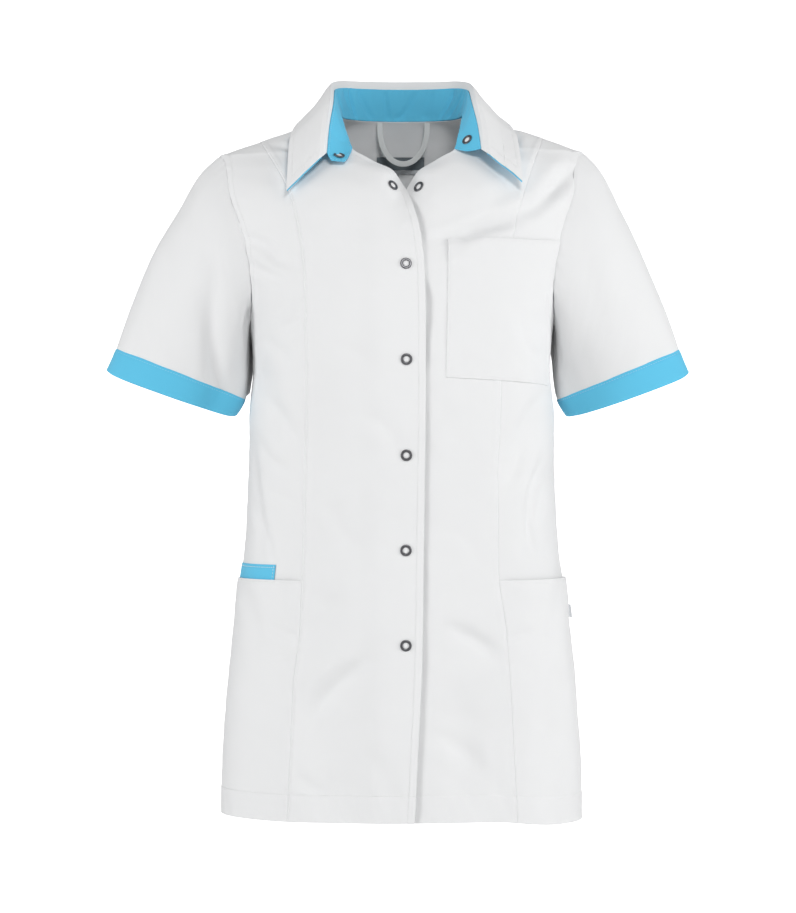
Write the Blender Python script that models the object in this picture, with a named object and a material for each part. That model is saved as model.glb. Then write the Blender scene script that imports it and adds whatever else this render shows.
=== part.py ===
"""Women's short-sleeved medical tunic, worn open at the neck and filled out, with no wearer.

The garment stands in its wearing pose: +Z is up, the front faces -Y and the wearer's left is +X. The
origin is midway between the two points where the shoulder seams meet the neck. Every cloth piece is a
slab of two layers, a flat grid given the thickness of the cloth and bent to its place by a formula.
"""

import math

import bmesh
import bpy
import numpy as np
from mathutils import Vector

MM = 0.001

# Driving sizes, in metres.
WALL = 0.0013
COLLAR_WALL = 0.0012
CUFF_WALL = 0.0016
INNER_POCKET_WALL = 0.0009
LABEL_WALL = 0.0008
TAPE_WALL = 0.0008
SEAM_GAP = 0.0004
PRINCESS_GAP = 0.0006
LAYER_GAP = 0.0003
HEM_HEIGHT = -0.728
NECK_TOP_HEIGHT = -0.0007
BACK_TOP_HEIGHT = -0.0003
NECK_END_HEIGHT = -0.040
SHOULDER_TIP_HEIGHT = -0.043
UNDERARM_HEIGHT = -0.222
PRINCESS_TOP_HEIGHT = -0.0280
PRINCESS_TIP = 0.0003
VENT_TOP_HEIGHT = -0.690
VENT_GAP = 0.0028
VENT_EASE = 0.02

# How the fronts lap: the upper one is raised where it lies on the lower one.
OVERLAP_EASE = 0.0008
OVERLAP_RISE = (-0.050, -0.025)

# Pockets.
CHEST_POCKET_TOP_HEIGHT = -0.136
CHEST_POCKET_DROP = 0.1415
CHEST_POCKET_SLOPE = 0.0065
CHEST_POCKET_EDGE = 0.0435
CHEST_POCKET_SIDE = (0.149, 0.170)
POCKET_TOP_HEIGHT = -0.484
POCKET_GAPE = 0.0026
POCKET_GAPE_DROP = 0.05
CHEST_POCKET_GAPE = 0.0011
CHEST_POCKET_GAPE_DROP = 0.029
CHEST_POCKET_INSET = 0.012
CHEST_POCKET_LEAN = 0.003
CHEST_POCKET_FREE_HEIGHT = -0.185
CHEST_POCKET_LIFT = 0.0009
INNER_POCKET_RISE = 0.0155
INNER_POCKET_LENGTH = 0.028
INNER_POCKET_EDGE = 0.26
INNER_POCKET_END = 0.985
INNER_POCKET_LIFT = 0.00075

# Ring snaps.
SNAP_HEIGHTS = (-0.163, -0.2595, -0.356, -0.4525, -0.549)
OPEN_SNAP_HEIGHT = -0.0815
OPEN_SNAPS = {"right": -0.0135, "left": 0.0145}
COLLAR_SNAPS = {"right": -1.05, "left": 0.94}
COLLAR_SNAP_RISE = 0.5
COLLAR_SNAP_CLEAR = 0.0006
SNAP_RING_RADIUS = 0.0049
SNAP_WIRE_RADIUS = 0.0011
SNAP_SEAT = 0.0005
SNAP_SEGMENTS = (14, 6)

# Labels and the hanger loop, each label as its left, right, top and bottom.
NECK_LABEL = (-0.024, 0.027, -0.0365, -0.0495)
SIZE_LABEL = (-0.0155, 0.027, -0.0499, -0.0535)
SIDE_LABEL_TOP = -0.512
SIDE_LABEL_BOTTOM = -0.5255
SIDE_LABEL_REACH = 0.005
SIDE_LABEL_DROOP = 0.002
LABEL_GAP = 0.0009
TAPE_WIDTH = 0.0053
TAPE_GAP = 0.0006
LOOP_MIDDLE = 0.004
LOOP_HALF_WIDTH = 0.0256
LOOP_DROP = 0.0425
LOOP_TOP_HEIGHT = -0.0012
LOOP_SLOPE = 0.12
LOOP_ROUNDNESS = 0.8

# The body of the tunic in level rings, top to bottom, in millimetres: the ring's height, its reach to each
# side, and its reach forwards and backwards from the shoulder seams' plane. The power says how square its
# outline is: 2 is an ellipse, and the lower powers round off the shoulders.
RING_COLUMNS = ("height", "side", "front", "back", "power")
RINGS = (
    (8, 40, 6, 52, 2.4),
    (0, 64, 14, 58, 2.4),
    (-14, 106, 31, 64.5, 2.05),
    (-28, 147.5, 50, 70, 1.7),
    (-40, 183, 65, 74, 1.55),
    (-43, 191, 68, 75, 1.55),
    (-60, 198, 84, 80, 1.75),
    (-84, 196, 100, 86.5, 2.07),
    (-125, 184.5, 115, 94.5, 2.32),
    (-147, 178, 122, 98, 2.4),
    (-185, 167, 132, 102, 2.4),
    (-222, 158.5, 137, 102, 2.4),
    (-267, 155.5, 138, 100, 2.4),
    (-319, 159.5, 134, 97, 2.4),
    (-372, 160, 128, 93, 2.4),
    (-420, 162, 124, 92, 2.4),
    (-466, 166, 122, 95, 2.4),
    (-509, 172, 121, 101, 2.4),
    (-550, 177, 121, 106, 2.4),
    (-614, 183, 123, 111, 2.4),
    (-677, 187, 126, 113, 2.4),
    (-728, 188, 129, 114, 2.4),
)

# Where the two fronts end across the chest, in millimetres from the middle, by height. The wearer's right
# front lies over the left one, and both turn away from each other above the top closed snap.
EDGE_COLUMNS = ("height", "over", "under")
FRONT_EDGES = (
    (0, -64, 64),
    (-12, -61.5, 61.5),
    (-28, -57, 57),
    (-40, -53, 53),
    (-49, -41, 38),
    (-57, -29.5, 25),
    (-64.5, -13.5, 14),
    (-75, -5, 7),
    (-92, 4.8, -2),
    (-112, 11, -10),
    (-137, 15.6, -14),
    (-168, 18.2, -16.5),
    (-200, 19, -17.5),
    (-300, 19, -17.5),
    (-432, 17.8, -18),
    (-556, 16.3, -19),
    (-640, 12.5, -21),
    (-728, 8, -24),
)

# How far the open neck edges dive inwards, in millimetres, by height.
DIVE_COLUMNS = ("height", "depth")
NECK_DIVE = ((-40, 0), (-48, 8), (-60, 19), (-75, 24), (-92, 15), (-106, 7), (-125, 1.5), (-142, 0))
DIVE_END_HEIGHT = -0.112
DIVE_WIDTH = 17
DIVE_REACH = 10

# The princess seams, in millimetres from the middle on the wearer's right and left, by height.
PRINCESS_COLUMNS = ("height", "right", "left")
PRINCESS_SEAMS = (
    (-28, -147.5, 147.5),
    (-90, -117, 122),
    (-136, -107, 109),
    (-176, -103, 101),
    (-300, -101, 96.5),
    (-400, -103, 94),
    (-462, -104, 94),
    (-543, -109, 104),
    (-605, -115, 108),
    (-728, -120, 114),
)

# How far each half of the armholes reaches forwards and backwards from the shoulder seam, in millimetres.
ARMHOLES = {"right": {"front": 61, "back": 57}, "left": {"front": 66, "back": 57}}
ARMHOLE_LOW_SHARE = 0.33
ARMHOLE_MIDDLE = (SHOULDER_TIP_HEIGHT + UNDERARM_HEIGHT) / 2
ARMHOLE_HALF = (SHOULDER_TIP_HEIGHT - UNDERARM_HEIGHT) / 2

# The largest folds of the body, in millimetres: both ends across and up, the half width of the trough, and
# how far it sinks (or, below zero, stands out). The face says whether it is on the front or the back.
FOLD_COLUMNS = ("face", "start_x", "start_z", "end_x", "end_z", "width", "sink")
FOLDS = (
    ("front", 140, -62, 62, -128, 15, 5),
    ("front", 128, -50, 104, -104, 11, -3),
    ("front", -158, -130, -116, -154, 14, 3.5),
    ("front", -152, -262, -128, -338, 14, 4),
    ("front", 146, -310, 96, -384, 15, 4),
    ("front", 152, -366, 126, -430, 13, 3),
    ("front", -70, -500, -112, -548, 15, 3),
    ("front", 46, -540, 96, -566, 15, 3.5),
    ("front", -52, -590, -72, -735, 26, 6),
    ("front", 62, -600, 70, -735, 28, 6),
    ("front", -146, -600, -160, -735, 20, 4),
    ("front", 150, -590, 158, -735, 20, 4),
    ("back", -120, -60, -60, -130, 18, 4),
    ("back", 122, -64, 66, -136, 18, 4),
    ("back", -140, -330, -60, -372, 18, 4),
    ("back", 142, -320, 64, -366, 18, 4),
    ("back", -70, -560, -84, -735, 30, 6),
    ("back", 60, -540, 78, -735, 32, 7),
)
# A fold comes up and dies away over these shares of its line, and it fades near the shoulder seams' plane.
FOLD_RISE = (-0.25, 0.3)
FOLD_FALL = (0.7, 1.25)
FOLD_FACING = (0.01, 0.05)

# The sleeves, in millimetres out from the middle: at each share of the way from the shoulder to the cuff
# seam, the crest of each sleeve, its underarm line, and half its depth front to back.
SLEEVE_COLUMNS = ("share", "right", "left", "crest_z", "under_x", "under_z", "depth")
SLEEVE = (
    (0, 191, 191, -43, 158.5, -222, 58),
    (0.12, 212, 210.5, -63.5, 159.6, -235, 59),
    (0.3, 233.5, 231.5, -100, 160.3, -253, 58),
    (0.55, 262.5, 255, -150, 161, -271, 54),
    (0.8, 284.5, 278, -205, 162, -286, 49),
    (1, 299, 292.5, -245, 163.5, -298, 46),
)
SLEEVE_ROUNDNESS = 2.15
CUFF_LENGTH = 0.0215
CUFF_FALL = {"right": 0.006, "left": 0.0075}
CUFF_SLANT = (-0.445, -0.895)
UNDERARM_SLIT = 0.003

# How a sleeve leaves the armhole's edge: the share of the seam's gap by which it stands off the body's face
# at its crest, the share of it that it gives up at the underarm, and how soon it reaches its own rounds.
SLEEVE_CREST_STEP = 0.3
SLEEVE_UNDER_DRAW = 0.5
SLEEVE_DRAW_POWER = 2.2
SQUARE_CUT_POWER = 6

# The soft folds that run down each sleeve: where each lies round it, its half width and its depth.
SLEEVE_FOLD_COLUMNS = ("angle", "width", "sink")
SLEEVE_FOLDS = ((0.62, 0.30, 3.0), (1.35, 0.34, 3.5), (2.3, 0.4, 2.5), (-0.8, 0.36, 3.0), (-1.9, 0.4, 3.0))
SLEEVE_FOLD_RISE = (0.15, 0.75)

# The collar on the wearer's left, in millimetres, in stations from the middle of the back (0) past the
# shoulder seam (0.6) to the front end (1): the top of the stand, then the leaf's crest, the turn just
# past it, its middle and its free edge, each as x, y and z.
COLLAR_COLUMNS = ("station", "stand_top", "crest", "turn", "middle", "edge")
COLLAR = (
    (0.0, (0, 62.5, 34), (0, 67.5, 43.5), (0, 72.5, 38), (0, 76, 12), (0, 79, -14)),
    (0.3, (52, 49, 34), (57, 53, 43), (62, 56.5, 37), (70, 62, 12), (77, 66, -13)),
    (0.6, (70, 3, 27), (74.5, 3, 33), (80, 3, 27), (94.5, 2, 7.5), (109.5, 0, -10.5)),
    (0.8, (72, -35, 8.5), (75.5, -38, 14), (81, -40, 8.5), (99, -42, -10), (117, -47, -28)),
    (0.9, (76.5, -56, -18), (79.5, -59.5, -15), (85, -63, -20), (102, -67, -38), (119.5, -71.5, -57)),
    (1.0, (79, -74, -45), (82, -77.5, -48), (87, -81, -52), (103, -85.5, -67), (121, -88, -85)),
)
COLLAR_FALL = (0, 0.14, 0.25, 0.62, 1)
COLLAR_START = 0.012
SHOULDER_STATION = 0.6
LEFT_POINT_RISE = 0.008
LEFT_END_RISE = 0.004
LEFT_RISE_STATIONS = (0.72, 1.0)
UNDERCOLLAR_TRIM = 0.03
UNDERCOLLAR_START = 0.2
UNDERCOLLAR_GAP = 0.0006

# How the neck seam is laid: how it drops down the front, and how far it stands off at the shoulder seams.
NECK_DROP_POWER = 1.25
NECK_CORNER_WIDTH = 0.08
NECK_CORNER_LIFT = 0.0009

# The stand's rounded tab, in millimetres, past the wearer's right front end of the neck seam.
STAND_TAB = {"seam": (58, -80.5, -56), "top": (78, -77.5, -54)}
STAND_TAB_STATION = 1.13
STAND_LEFT_END = 1.0
STAND_TAB_ROUND = 0.6
STAND_BOW = 0.0025

# How finely the cloth is divided, and how much closer together its rows stand at the start of their run.
ARMHOLE_STEPS = 12
BACK_COLUMNS = 18
CENTRE_COLUMNS = 10
SIDE_COLUMNS = 6
SHOULDER_ROWS = 5
NECK_ROWS = 5
PRINCESS_ROWS = 3
OPEN_ROWS = 16
CHEST_ROWS = 7
HEM_ROWS = 15
SLEEVE_ROWS = 9
CUFF_ROWS = 2
STAND_GRID = (34, 3)
LEAF_GRID = (32, 8)
CHEST_POCKET_GRID = (8, 9)
INNER_POCKET_ROWS = 3
LOOP_GRID = (18, 1)
LABEL_GRID = (6, 2)
SIDE_LABEL_GRID = (2, 2)
SHOULDER_CROWD = 1.6
HEM_CROWD = 1.2
CENTRE_CROWD = 1.4
COLLAR_CROWD = 1.5

# The small steps over which slopes are taken: in turn and height, round an armhole's edge, round a tube and
# along it, and over a sheet. Edges that turn by more than the sharp angle are shaded as edges.
FORM_STEPS = (0.004, 0.0005)
SKIN_STEPS = (0.006, 0.001)
ARMHOLE_STEP = 0.05
TUBE_STEPS = (0.03, 0.01)
SHEET_STEP = 0.01
SHARP_ANGLE = math.radians(50)

# The wearer's left shoulder sits higher: by how much, and where this comes up across and upwards.
LEFT_SHOULDER_RISE = 0.005
LEFT_SHOULDER_ACROSS = (0.095, 0.130)
LEFT_SHOULDER_UP = (-0.100, -0.050)

# Which way each side of the wearer lies.
SIDES = {"right": -1.0, "left": 1.0}

GARMENT = "medical_tunic"


def smooth(knots, values, at):
    """A curve through the values at rising knots that never overshoots them, read at the given places."""
    knots, values = np.asarray(knots, float), np.asarray(values, float)
    span = np.diff(knots)
    slope = np.diff(values) / span
    before, after = slope[:-1], slope[1:]
    turns = before * after <= 0
    late, early = 2 * span[1:] + span[:-1], span[1:] + 2 * span[:-1]
    mean = (late + early) / (late / np.where(turns, 1, before) + early / np.where(turns, 1, after))
    tangent = np.concatenate([slope[:1], np.where(turns, 0, mean), slope[-1:]])
    at = np.clip(at, knots[0], knots[-1])
    i = np.clip(np.searchsorted(knots, at, side="right") - 1, 0, len(span) - 1)
    t = (at - knots[i]) / span[i]
    start = (1 + 2 * t) * (1 - t) ** 2 * values[i] + t * (1 - t) ** 2 * span[i] * tangent[i]
    end = t * t * (3 - 2 * t) * values[i + 1] + t * t * (t - 1) * span[i] * tangent[i + 1]
    return start + end


def column(table, columns, name, height):
    """One column of a table that runs from the top down in millimetres, read at heights in metres."""
    rows = table[::-1]
    values = [row[columns.index(name)] for row in rows]
    return smooth([row[0] for row in rows], values, np.asarray(height) / MM) * MM


def ease(start, end, at):
    """0 before start, 1 past end, and a soft step between."""
    t = np.clip((np.asarray(at) - start) / (end - start), 0, 1)
    return t * t * (3 - 2 * t)


def unit(vectors):
    return vectors / np.maximum(np.linalg.norm(vectors, axis=-1, keepdims=True), 1e-12)


def ring(height):
    """Half width, front depth and back depth of the body at a height, and the power of its outline."""
    side, front, back, power = (column(RINGS, RING_COLUMNS, name, height) for name in RING_COLUMNS[1:])
    return side, front, back, power / MM


def form(turn, height):
    """The body without folds: level rings of rounded outline, by the turn from the middle of the front."""
    side, front, back, power = ring(height)
    across, ahead = np.sin(turn), np.cos(turn)
    x = side * np.sign(across) * np.abs(across) ** (2 / power)
    y = np.where(ahead >= 0, -front, back) * np.abs(ahead) ** (2 / power)
    return np.stack([x, y, np.broadcast_to(height, x.shape)], axis=-1)


def turn_at_x(x, height):
    """The turn on the front where the body's ring at this height reaches x."""
    side, _, _, power = ring(height)
    return np.sign(x) * np.arcsin(np.clip(np.abs(x) / side, 0, 1) ** (power / 2))


def turn_at_y(y, height, face, side):
    """The turn on one side where the front or back face of the ring lies this far from the shoulder plane."""
    _, front, back, power = ring(height)
    share = np.clip(np.abs(y) / (front if face == "front" else back), 0, 1) ** (power / 2)
    return side * (np.arccos(share) if face == "front" else math.pi - np.arccos(share))


def fold_sink(points):
    """How far the folds of the body sink it at these points: each is a soft trough along its line."""
    x, y, z = points[..., 0], points[..., 1], points[..., 2]
    total = np.zeros_like(x)
    for row in FOLDS:
        fold = dict(zip(FOLD_COLUMNS, row))
        start = np.array([fold["start_x"], fold["start_z"]]) * MM
        along = np.array([fold["end_x"], fold["end_z"]]) * MM - start
        length = np.hypot(*along)
        away = np.stack([x, z], axis=-1) - start
        run = (away @ along) / length**2
        off = (away[..., 0] * along[1] - away[..., 1] * along[0]) / length
        reach = ease(*FOLD_RISE, run) * (1 - ease(*FOLD_FALL, run))
        facing = ease(*FOLD_FACING, -y if fold["face"] == "front" else y)
        total += fold["sink"] * MM * reach * facing * np.exp(-((off / (fold["width"] * MM)) ** 2))
    return total


def neck_dive(points):
    """How far the two open neck edges dive inwards, deepest along the edges and gone below the top snap."""
    x, y, z = points[..., 0], points[..., 1], points[..., 2]
    over = column(FRONT_EDGES, EDGE_COLUMNS, "over", z)
    under = column(FRONT_EDGES, EDGE_COLUMNS, "under", z)
    half = np.maximum((under - over) / 2 - DIVE_REACH * MM, 0)
    off = np.maximum(np.abs(x - (over + under) / 2) - half, 0)
    depth = column(NECK_DIVE, DIVE_COLUMNS, "depth", z)
    return np.where(y < 0, depth * np.exp(-((off / (DIVE_WIDTH * MM)) ** 2)), 0)


def skin(turn, height):
    """The body's outer surface with its folds and the dive of the open neck."""
    points = form(turn, height)
    turn_step, height_step = FORM_STEPS
    across = form(turn + turn_step, height) - form(turn - turn_step, height)
    up = form(turn, height + height_step) - form(turn, height - height_step)
    points = points - unit(np.cross(across, up)) * fold_sink(points)[..., None]
    points[..., 1] += neck_dive(points)
    return points


def raised(turn, height, lift):
    """Points of the body's surface moved out along its own normal."""
    turn_step, height_step = SKIN_STEPS
    across = skin(turn + turn_step, height) - skin(turn - turn_step, height)
    up = skin(turn, height + height_step) - skin(turn, height - height_step)
    return skin(turn, height) + unit(np.cross(across, up)) * np.asarray(lift)[..., None]


def princess_x(side, height):
    return column(PRINCESS_SEAMS, PRINCESS_COLUMNS, side, height)


def armhole_y(side, face, rise):
    """How far the armhole lies from the shoulder plane: an oval, fuller below, by its rise from -1 to 1."""
    reach = ARMHOLES[side][face] * MM
    return reach * np.sqrt(np.clip(1 - rise**2, 0, 1)) * (1 - ARMHOLE_LOW_SHARE * rise)


def outer_turn(side, face, height):
    """The edge of a front or the back at the shoulder seam, the armhole and the side seam, by height."""
    edge = SEAM_GAP / 2 + VENT_GAP / 2 * ease(VENT_TOP_HEIGHT, VENT_TOP_HEIGHT - VENT_EASE, height)
    rise = np.clip((height - ARMHOLE_MIDDLE) / ARMHOLE_HALF, -1, 1)
    y = np.maximum(armhole_y(side, face, rise), edge)
    return turn_at_y(y, height, face, SIDES[side])


def armhole_heights():
    """Heights from the shoulder tip to the underarm, at even steps round the armhole's oval."""
    return ARMHOLE_MIDDLE + ARMHOLE_HALF * np.cos(np.linspace(0, math.pi, ARMHOLE_STEPS + 1))


def heights(top, rows_above):
    """Row heights of a body panel: close together near the shoulder, then the armhole's, then to the hem."""
    above = top + (SHOULDER_TIP_HEIGHT - top) * np.linspace(0, 1, rows_above + 1)[:-1] ** SHOULDER_CROWD
    return np.concatenate([above, armhole_heights(), hem_heights()])


def shoulder_heights():
    """Row heights of the parts of the fronts beside the princess seams."""
    return heights(PRINCESS_TOP_HEIGHT - PRINCESS_TIP, PRINCESS_ROWS)


def hem_heights():
    """Row heights from the underarm to the hem, closer together over the bust."""
    return UNDERARM_HEIGHT + (HEM_HEIGHT - UNDERARM_HEIGHT) * np.linspace(0, 1, HEM_ROWS + 1)[1:] ** HEM_CROWD


def settle(points):
    """Every piece is raised alike over the wearer's left shoulder."""
    x, z = points[..., 0], points[..., 2]
    rise = LEFT_SHOULDER_RISE * ease(*LEFT_SHOULDER_ACROSS, x) * ease(*LEFT_SHOULDER_UP, z)
    return points + rise[..., None] * np.array([0, 0, 1])


def slab(name, columns, rows, place, material):
    """A closed cloth piece: a flat grid is given a second layer, and place() bends both to their shape.

    place(across, along, inner) takes whole arrays from 0 to 1, inner being 0 on the first layer.
    """
    shape = bmesh.new()
    bmesh.ops.create_grid(shape, x_segments=columns, y_segments=rows, size=1)
    second = bmesh.ops.extrude_face_region(shape, geom=shape.faces[:], use_keep_orig=True)
    moved = [item for item in second["geom"] if isinstance(item, bmesh.types.BMVert)]
    bmesh.ops.translate(shape, verts=moved, vec=(0, 0, 1))
    flat = np.array([vertex.co[:] for vertex in shape.verts])
    bent = settle(place((flat[:, 0] + 1) / 2, (flat[:, 1] + 1) / 2, flat[:, 2]))
    for vertex, point in zip(shape.verts, bent):
        vertex.co = point
    bmesh.ops.recalc_face_normals(shape, faces=shape.faces[:])
    if shape.calc_volume(signed=True) < 0:
        bmesh.ops.reverse_faces(shape, faces=shape.faces[:])
    mesh = bpy.data.meshes.new(name)
    shape.to_mesh(mesh)
    shape.free()
    return show(bpy.data.objects.new(name, mesh), material)


def show(piece, material):
    """Finishes a piece and files it in the garment's collection."""
    piece.data.shade_smooth()
    piece.data.set_sharp_from_angle(angle=SHARP_ANGLE)
    piece.data.materials.append(material)
    for other in piece.users_collection:
        other.objects.unlink(piece)
    bpy.data.collections[GARMENT].objects.link(piece)
    return piece


def read_rows(values, along):
    """Values listed by row, read at shares of the way along the rows."""
    return np.interp(along, np.linspace(0, 1, len(values)), values)


def body_panel(name, row_heights, columns, edges, lift, material, crowd=1.0):
    """A panel of the body between two edges, each given as a turn by height.

    lift says how far its outer face is raised above the body's skin, and crowd above 1 puts the columns
    closer together at the first edge.
    """

    def place(across, along, inner):
        height = read_rows(row_heights, along)
        first, last = edges(height)
        turn = first + (last - first) * across**crowd
        return raised(turn, height, lift(turn, height) - inner * WALL)

    return slab(name, columns, len(row_heights) - 1, place, material)


def flush(turn, height):
    return np.zeros_like(turn)


def over_lift(turn, height):
    """The upper front lies over the lower one, so it rises by the cloth's thickness as it nears its edge."""
    x = form(turn, height)[..., 0]
    return (WALL + LAYER_GAP + OVERLAP_EASE) * ease(*OVERLAP_RISE, x)


def front_centre(side, material):
    """The middle of a front: shoulder seam, neckline and front edge, and the princess seam opposite."""
    edge = "over" if side == "right" else "under"
    neck_rows = np.linspace(NECK_TOP_HEIGHT, PRINCESS_TOP_HEIGHT, NECK_ROWS)
    shoulder_rows = shoulder_heights()[:PRINCESS_ROWS]
    open_rows = np.linspace(NECK_END_HEIGHT, DIVE_END_HEIGHT, OPEN_ROWS)
    chest_rows = np.linspace(DIVE_END_HEIGHT, UNDERARM_HEIGHT, CHEST_ROWS)[1:]
    rows = np.concatenate([neck_rows, shoulder_rows, open_rows, chest_rows, hem_heights()])

    def edges(height):
        middle = turn_at_x(column(FRONT_EDGES, EDGE_COLUMNS, edge, height), height)
        ridge = outer_turn(side, "front", np.maximum(height, SHOULDER_TIP_HEIGHT))
        princess = turn_at_x(princess_x(side, height) - SIDES[side] * PRINCESS_GAP / 2, height)
        return middle, np.where(height > PRINCESS_TOP_HEIGHT - PRINCESS_TIP / 2, ridge, princess)

    lift = over_lift if side == "right" else flush
    return body_panel(f"front_centre_{side}", rows, CENTRE_COLUMNS, edges, lift, material, CENTRE_CROWD)


def side_edges(side, height):
    """The edges of the side panel of a front: the princess seam, and the armhole and side seam."""
    princess = turn_at_x(princess_x(side, height) + SIDES[side] * PRINCESS_GAP / 2, height)
    return princess, outer_turn(side, "front", height)


def front_side(side, material):
    """The outer part of a front, from the princess seam to the armhole and the side seam."""

    def edges(height):
        return side_edges(side, height)

    return body_panel(f"front_side_{side}", shoulder_heights(), SIDE_COLUMNS, edges, flush, material)


def back(material):
    """The back, in one piece from side seam to side seam."""

    def edges(height):
        right, left = (outer_turn(side, "back", height) for side in SIDES)
        return left, right + 2 * math.pi

    return body_panel("back", heights(BACK_TOP_HEIGHT, SHOULDER_ROWS), BACK_COLUMNS, edges, flush, material)


def armhole_edge(side, angle):
    """The armhole's edge on the body: 0 at the shoulder tip, a quarter turn at the front of the armhole."""
    height = ARMHOLE_MIDDLE + ARMHOLE_HALF * np.cos(angle)
    fronts, backs = (outer_turn(side, face, height) for face in ("front", "back"))
    turn = np.where(np.sin(angle) >= 0, fronts, backs)
    edge = raised(turn, height, np.zeros_like(turn))
    return edge, unit(raised(turn, height, np.full_like(turn, MM)) - edge)


def armhole_frame(side, angle):
    """The edge, the way out of the body's face there, and the way on past the panel's edge."""
    edge, face = armhole_edge(side, angle)
    ahead = armhole_edge(side, angle + ARMHOLE_STEP)[0] - armhole_edge(side, angle - ARMHOLE_STEP)[0]
    return edge, face, unit(np.cross(face, ahead)) * SIDES[side]


def sleeve_ring(side, share, angle):
    """The sleeve's round at a share of its length: 0 on the crest, half a turn at the underarm."""
    rows = np.array(SLEEVE)
    read = {
        name: smooth(rows[:, 0], rows[:, at], share) * MM for at, name in enumerate(SLEEVE_COLUMNS) if at
    }
    up, ahead = np.cos(angle), np.sin(angle)
    up, ahead = (np.sign(way) * np.abs(way) ** (2 / SLEEVE_ROUNDNESS) for way in (up, ahead))
    x = (read[side] + read["under_x"]) / 2 + (read[side] - read["under_x"]) / 2 * up
    z = (read["crest_z"] + read["under_z"]) / 2 + (read["crest_z"] - read["under_z"]) / 2 * up
    return np.stack([SIDES[side] * x, -read["depth"] * ahead, z], axis=-1)


def sleeve_fold(share, angle):
    """How far the soft folds that run down the sleeve sink it."""
    total = np.zeros_like(share)
    for row in SLEEVE_FOLDS:
        fold = dict(zip(SLEEVE_FOLD_COLUMNS, row))
        off = np.angle(np.exp(1j * (angle - fold["angle"]))) / fold["width"]
        total += fold["sink"] * MM * np.exp(-(off**2)) * ease(*SLEEVE_FOLD_RISE, share)
    return total


def sleeve_skin(side, share, angle):
    """The sleeve's outer surface: its rounds, drawn in to the armhole's edge at the shoulder end."""
    edge, face, beyond = armhole_frame(side, angle)
    under = ((1 - np.cos(angle)) / 2)[:, None]
    step = SLEEVE_CREST_STEP + (1 - SLEEVE_CREST_STEP) * under
    start = edge + SEAM_GAP * (step * face + (1 - SLEEVE_UNDER_DRAW * under) * beyond)
    drawn = start - sleeve_ring(side, 0 * share, angle)
    points = sleeve_ring(side, share, angle) + drawn * ((1 - share) ** SLEEVE_DRAW_POWER)[:, None]
    inward = sleeve_ring(side, share, angle + math.pi) - sleeve_ring(side, share, angle)
    return points + unit(inward) * sleeve_fold(share, angle)[:, None]


def tube_normal(surface, side, share, angle):
    """The outward normal of a tube that runs away from the body."""
    angle_step, share_step = TUBE_STEPS
    around = surface(share, angle + angle_step) - surface(share, angle - angle_step)
    lower, upper = np.minimum(share + share_step, 1), np.maximum(share - share_step, 0)
    down = surface(lower, angle) - surface(upper, angle)
    return unit(np.cross(around, down)) * SIDES[side]


def tube(name, side, rows, surface, ends, wall, material):
    """A tube of cloth in one piece, sewn up along the underarm.

    ends(angle) gives the way into the tube at its start and out of it at its end: there its wall is cut
    square, so that it doesn't reach past its own edge into the next piece.
    """

    def place(across, along, inner):
        angle = math.pi + UNDERARM_SLIT + 2 * (math.pi - UNDERARM_SLIT) * across
        offset = -wall * tube_normal(surface, side, along, angle)
        first, last = ends(angle)
        before = np.minimum((offset * first).sum(axis=1), 0) * (1 - along) ** SQUARE_CUT_POWER
        past = np.maximum((offset * last).sum(axis=1), 0) * along**SQUARE_CUT_POWER
        offset = offset - before[:, None] * first - past[:, None] * last
        return surface(along, angle) + offset * inner[:, None]

    return slab(name, 2 * ARMHOLE_STEPS, rows, place, material)


def cuff_slant(side, angle):
    """The way down the cuff, the same all round."""
    return np.broadcast_to(unit(np.array([-SIDES[side] * CUFF_SLANT[0], 0, CUFF_SLANT[1]])), (len(angle), 3))


def sleeve(side, material):
    """A short sleeve, seated on the edges of the front and the back round the armhole."""

    def surface(share, angle):
        return sleeve_skin(side, share, angle)

    def ends(angle):
        return armhole_frame(side, angle)[2], cuff_slant(side, angle)

    return tube(f"sleeve_{side}", side, SLEEVE_ROWS, surface, ends, WALL, material)


def cuff(side, material):
    """The coloured band sewn on at the end of a sleeve. It hangs lower at the crest than at the underarm."""

    def surface(share, angle):
        end = sleeve_skin(side, np.ones_like(share), angle)
        band = end + cuff_slant(side, angle) * (SEAM_GAP + CUFF_LENGTH * share)[:, None]
        band[:, 2] -= CUFF_FALL[side] * share * (1 - ((1 - np.cos(angle)) / 2) ** 2)
        return band

    def ends(angle):
        return cuff_slant(side, angle), cuff_slant(side, angle)

    return tube(f"cuff_{side}", side, CUFF_ROWS, surface, ends, CUFF_WALL, material)


def neck_seam(station):
    """The neck seam, from the middle of the back (0) over the shoulder seams (0.6) to the front ends (1)."""
    way = np.abs(station)
    round_back = np.clip(way / SHOULDER_STATION, 0, 1)
    down_front = np.clip((way - SHOULDER_STATION) / (1 - SHOULDER_STATION), 0, 1)
    height = NECK_END_HEIGHT * down_front**NECK_DROP_POWER
    x = column(FRONT_EDGES, EDGE_COLUMNS, "under", height)
    turn = np.where(way > SHOULDER_STATION, turn_at_x(x, height), math.pi - round_back * math.pi / 2)
    corner = np.exp(-(((way - SHOULDER_STATION) / NECK_CORNER_WIDTH) ** 2))
    return raised(np.sign(station) * turn, height, SEAM_GAP + NECK_CORNER_LIFT * corner)


def collar_line(name, station):
    """One of the collar's lines, read at stations that count below zero on the wearer's right."""
    at = COLLAR_COLUMNS.index(name)
    rows = [(side * row[0], side * row[at][0], *row[at][1:]) for side in (-1, 1) for row in COLLAR]
    rows = np.array(sorted(set(rows)))
    return np.stack([smooth(rows[:, 0], rows[:, axis] * MM, station) for axis in (1, 2, 3)], axis=-1)


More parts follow.
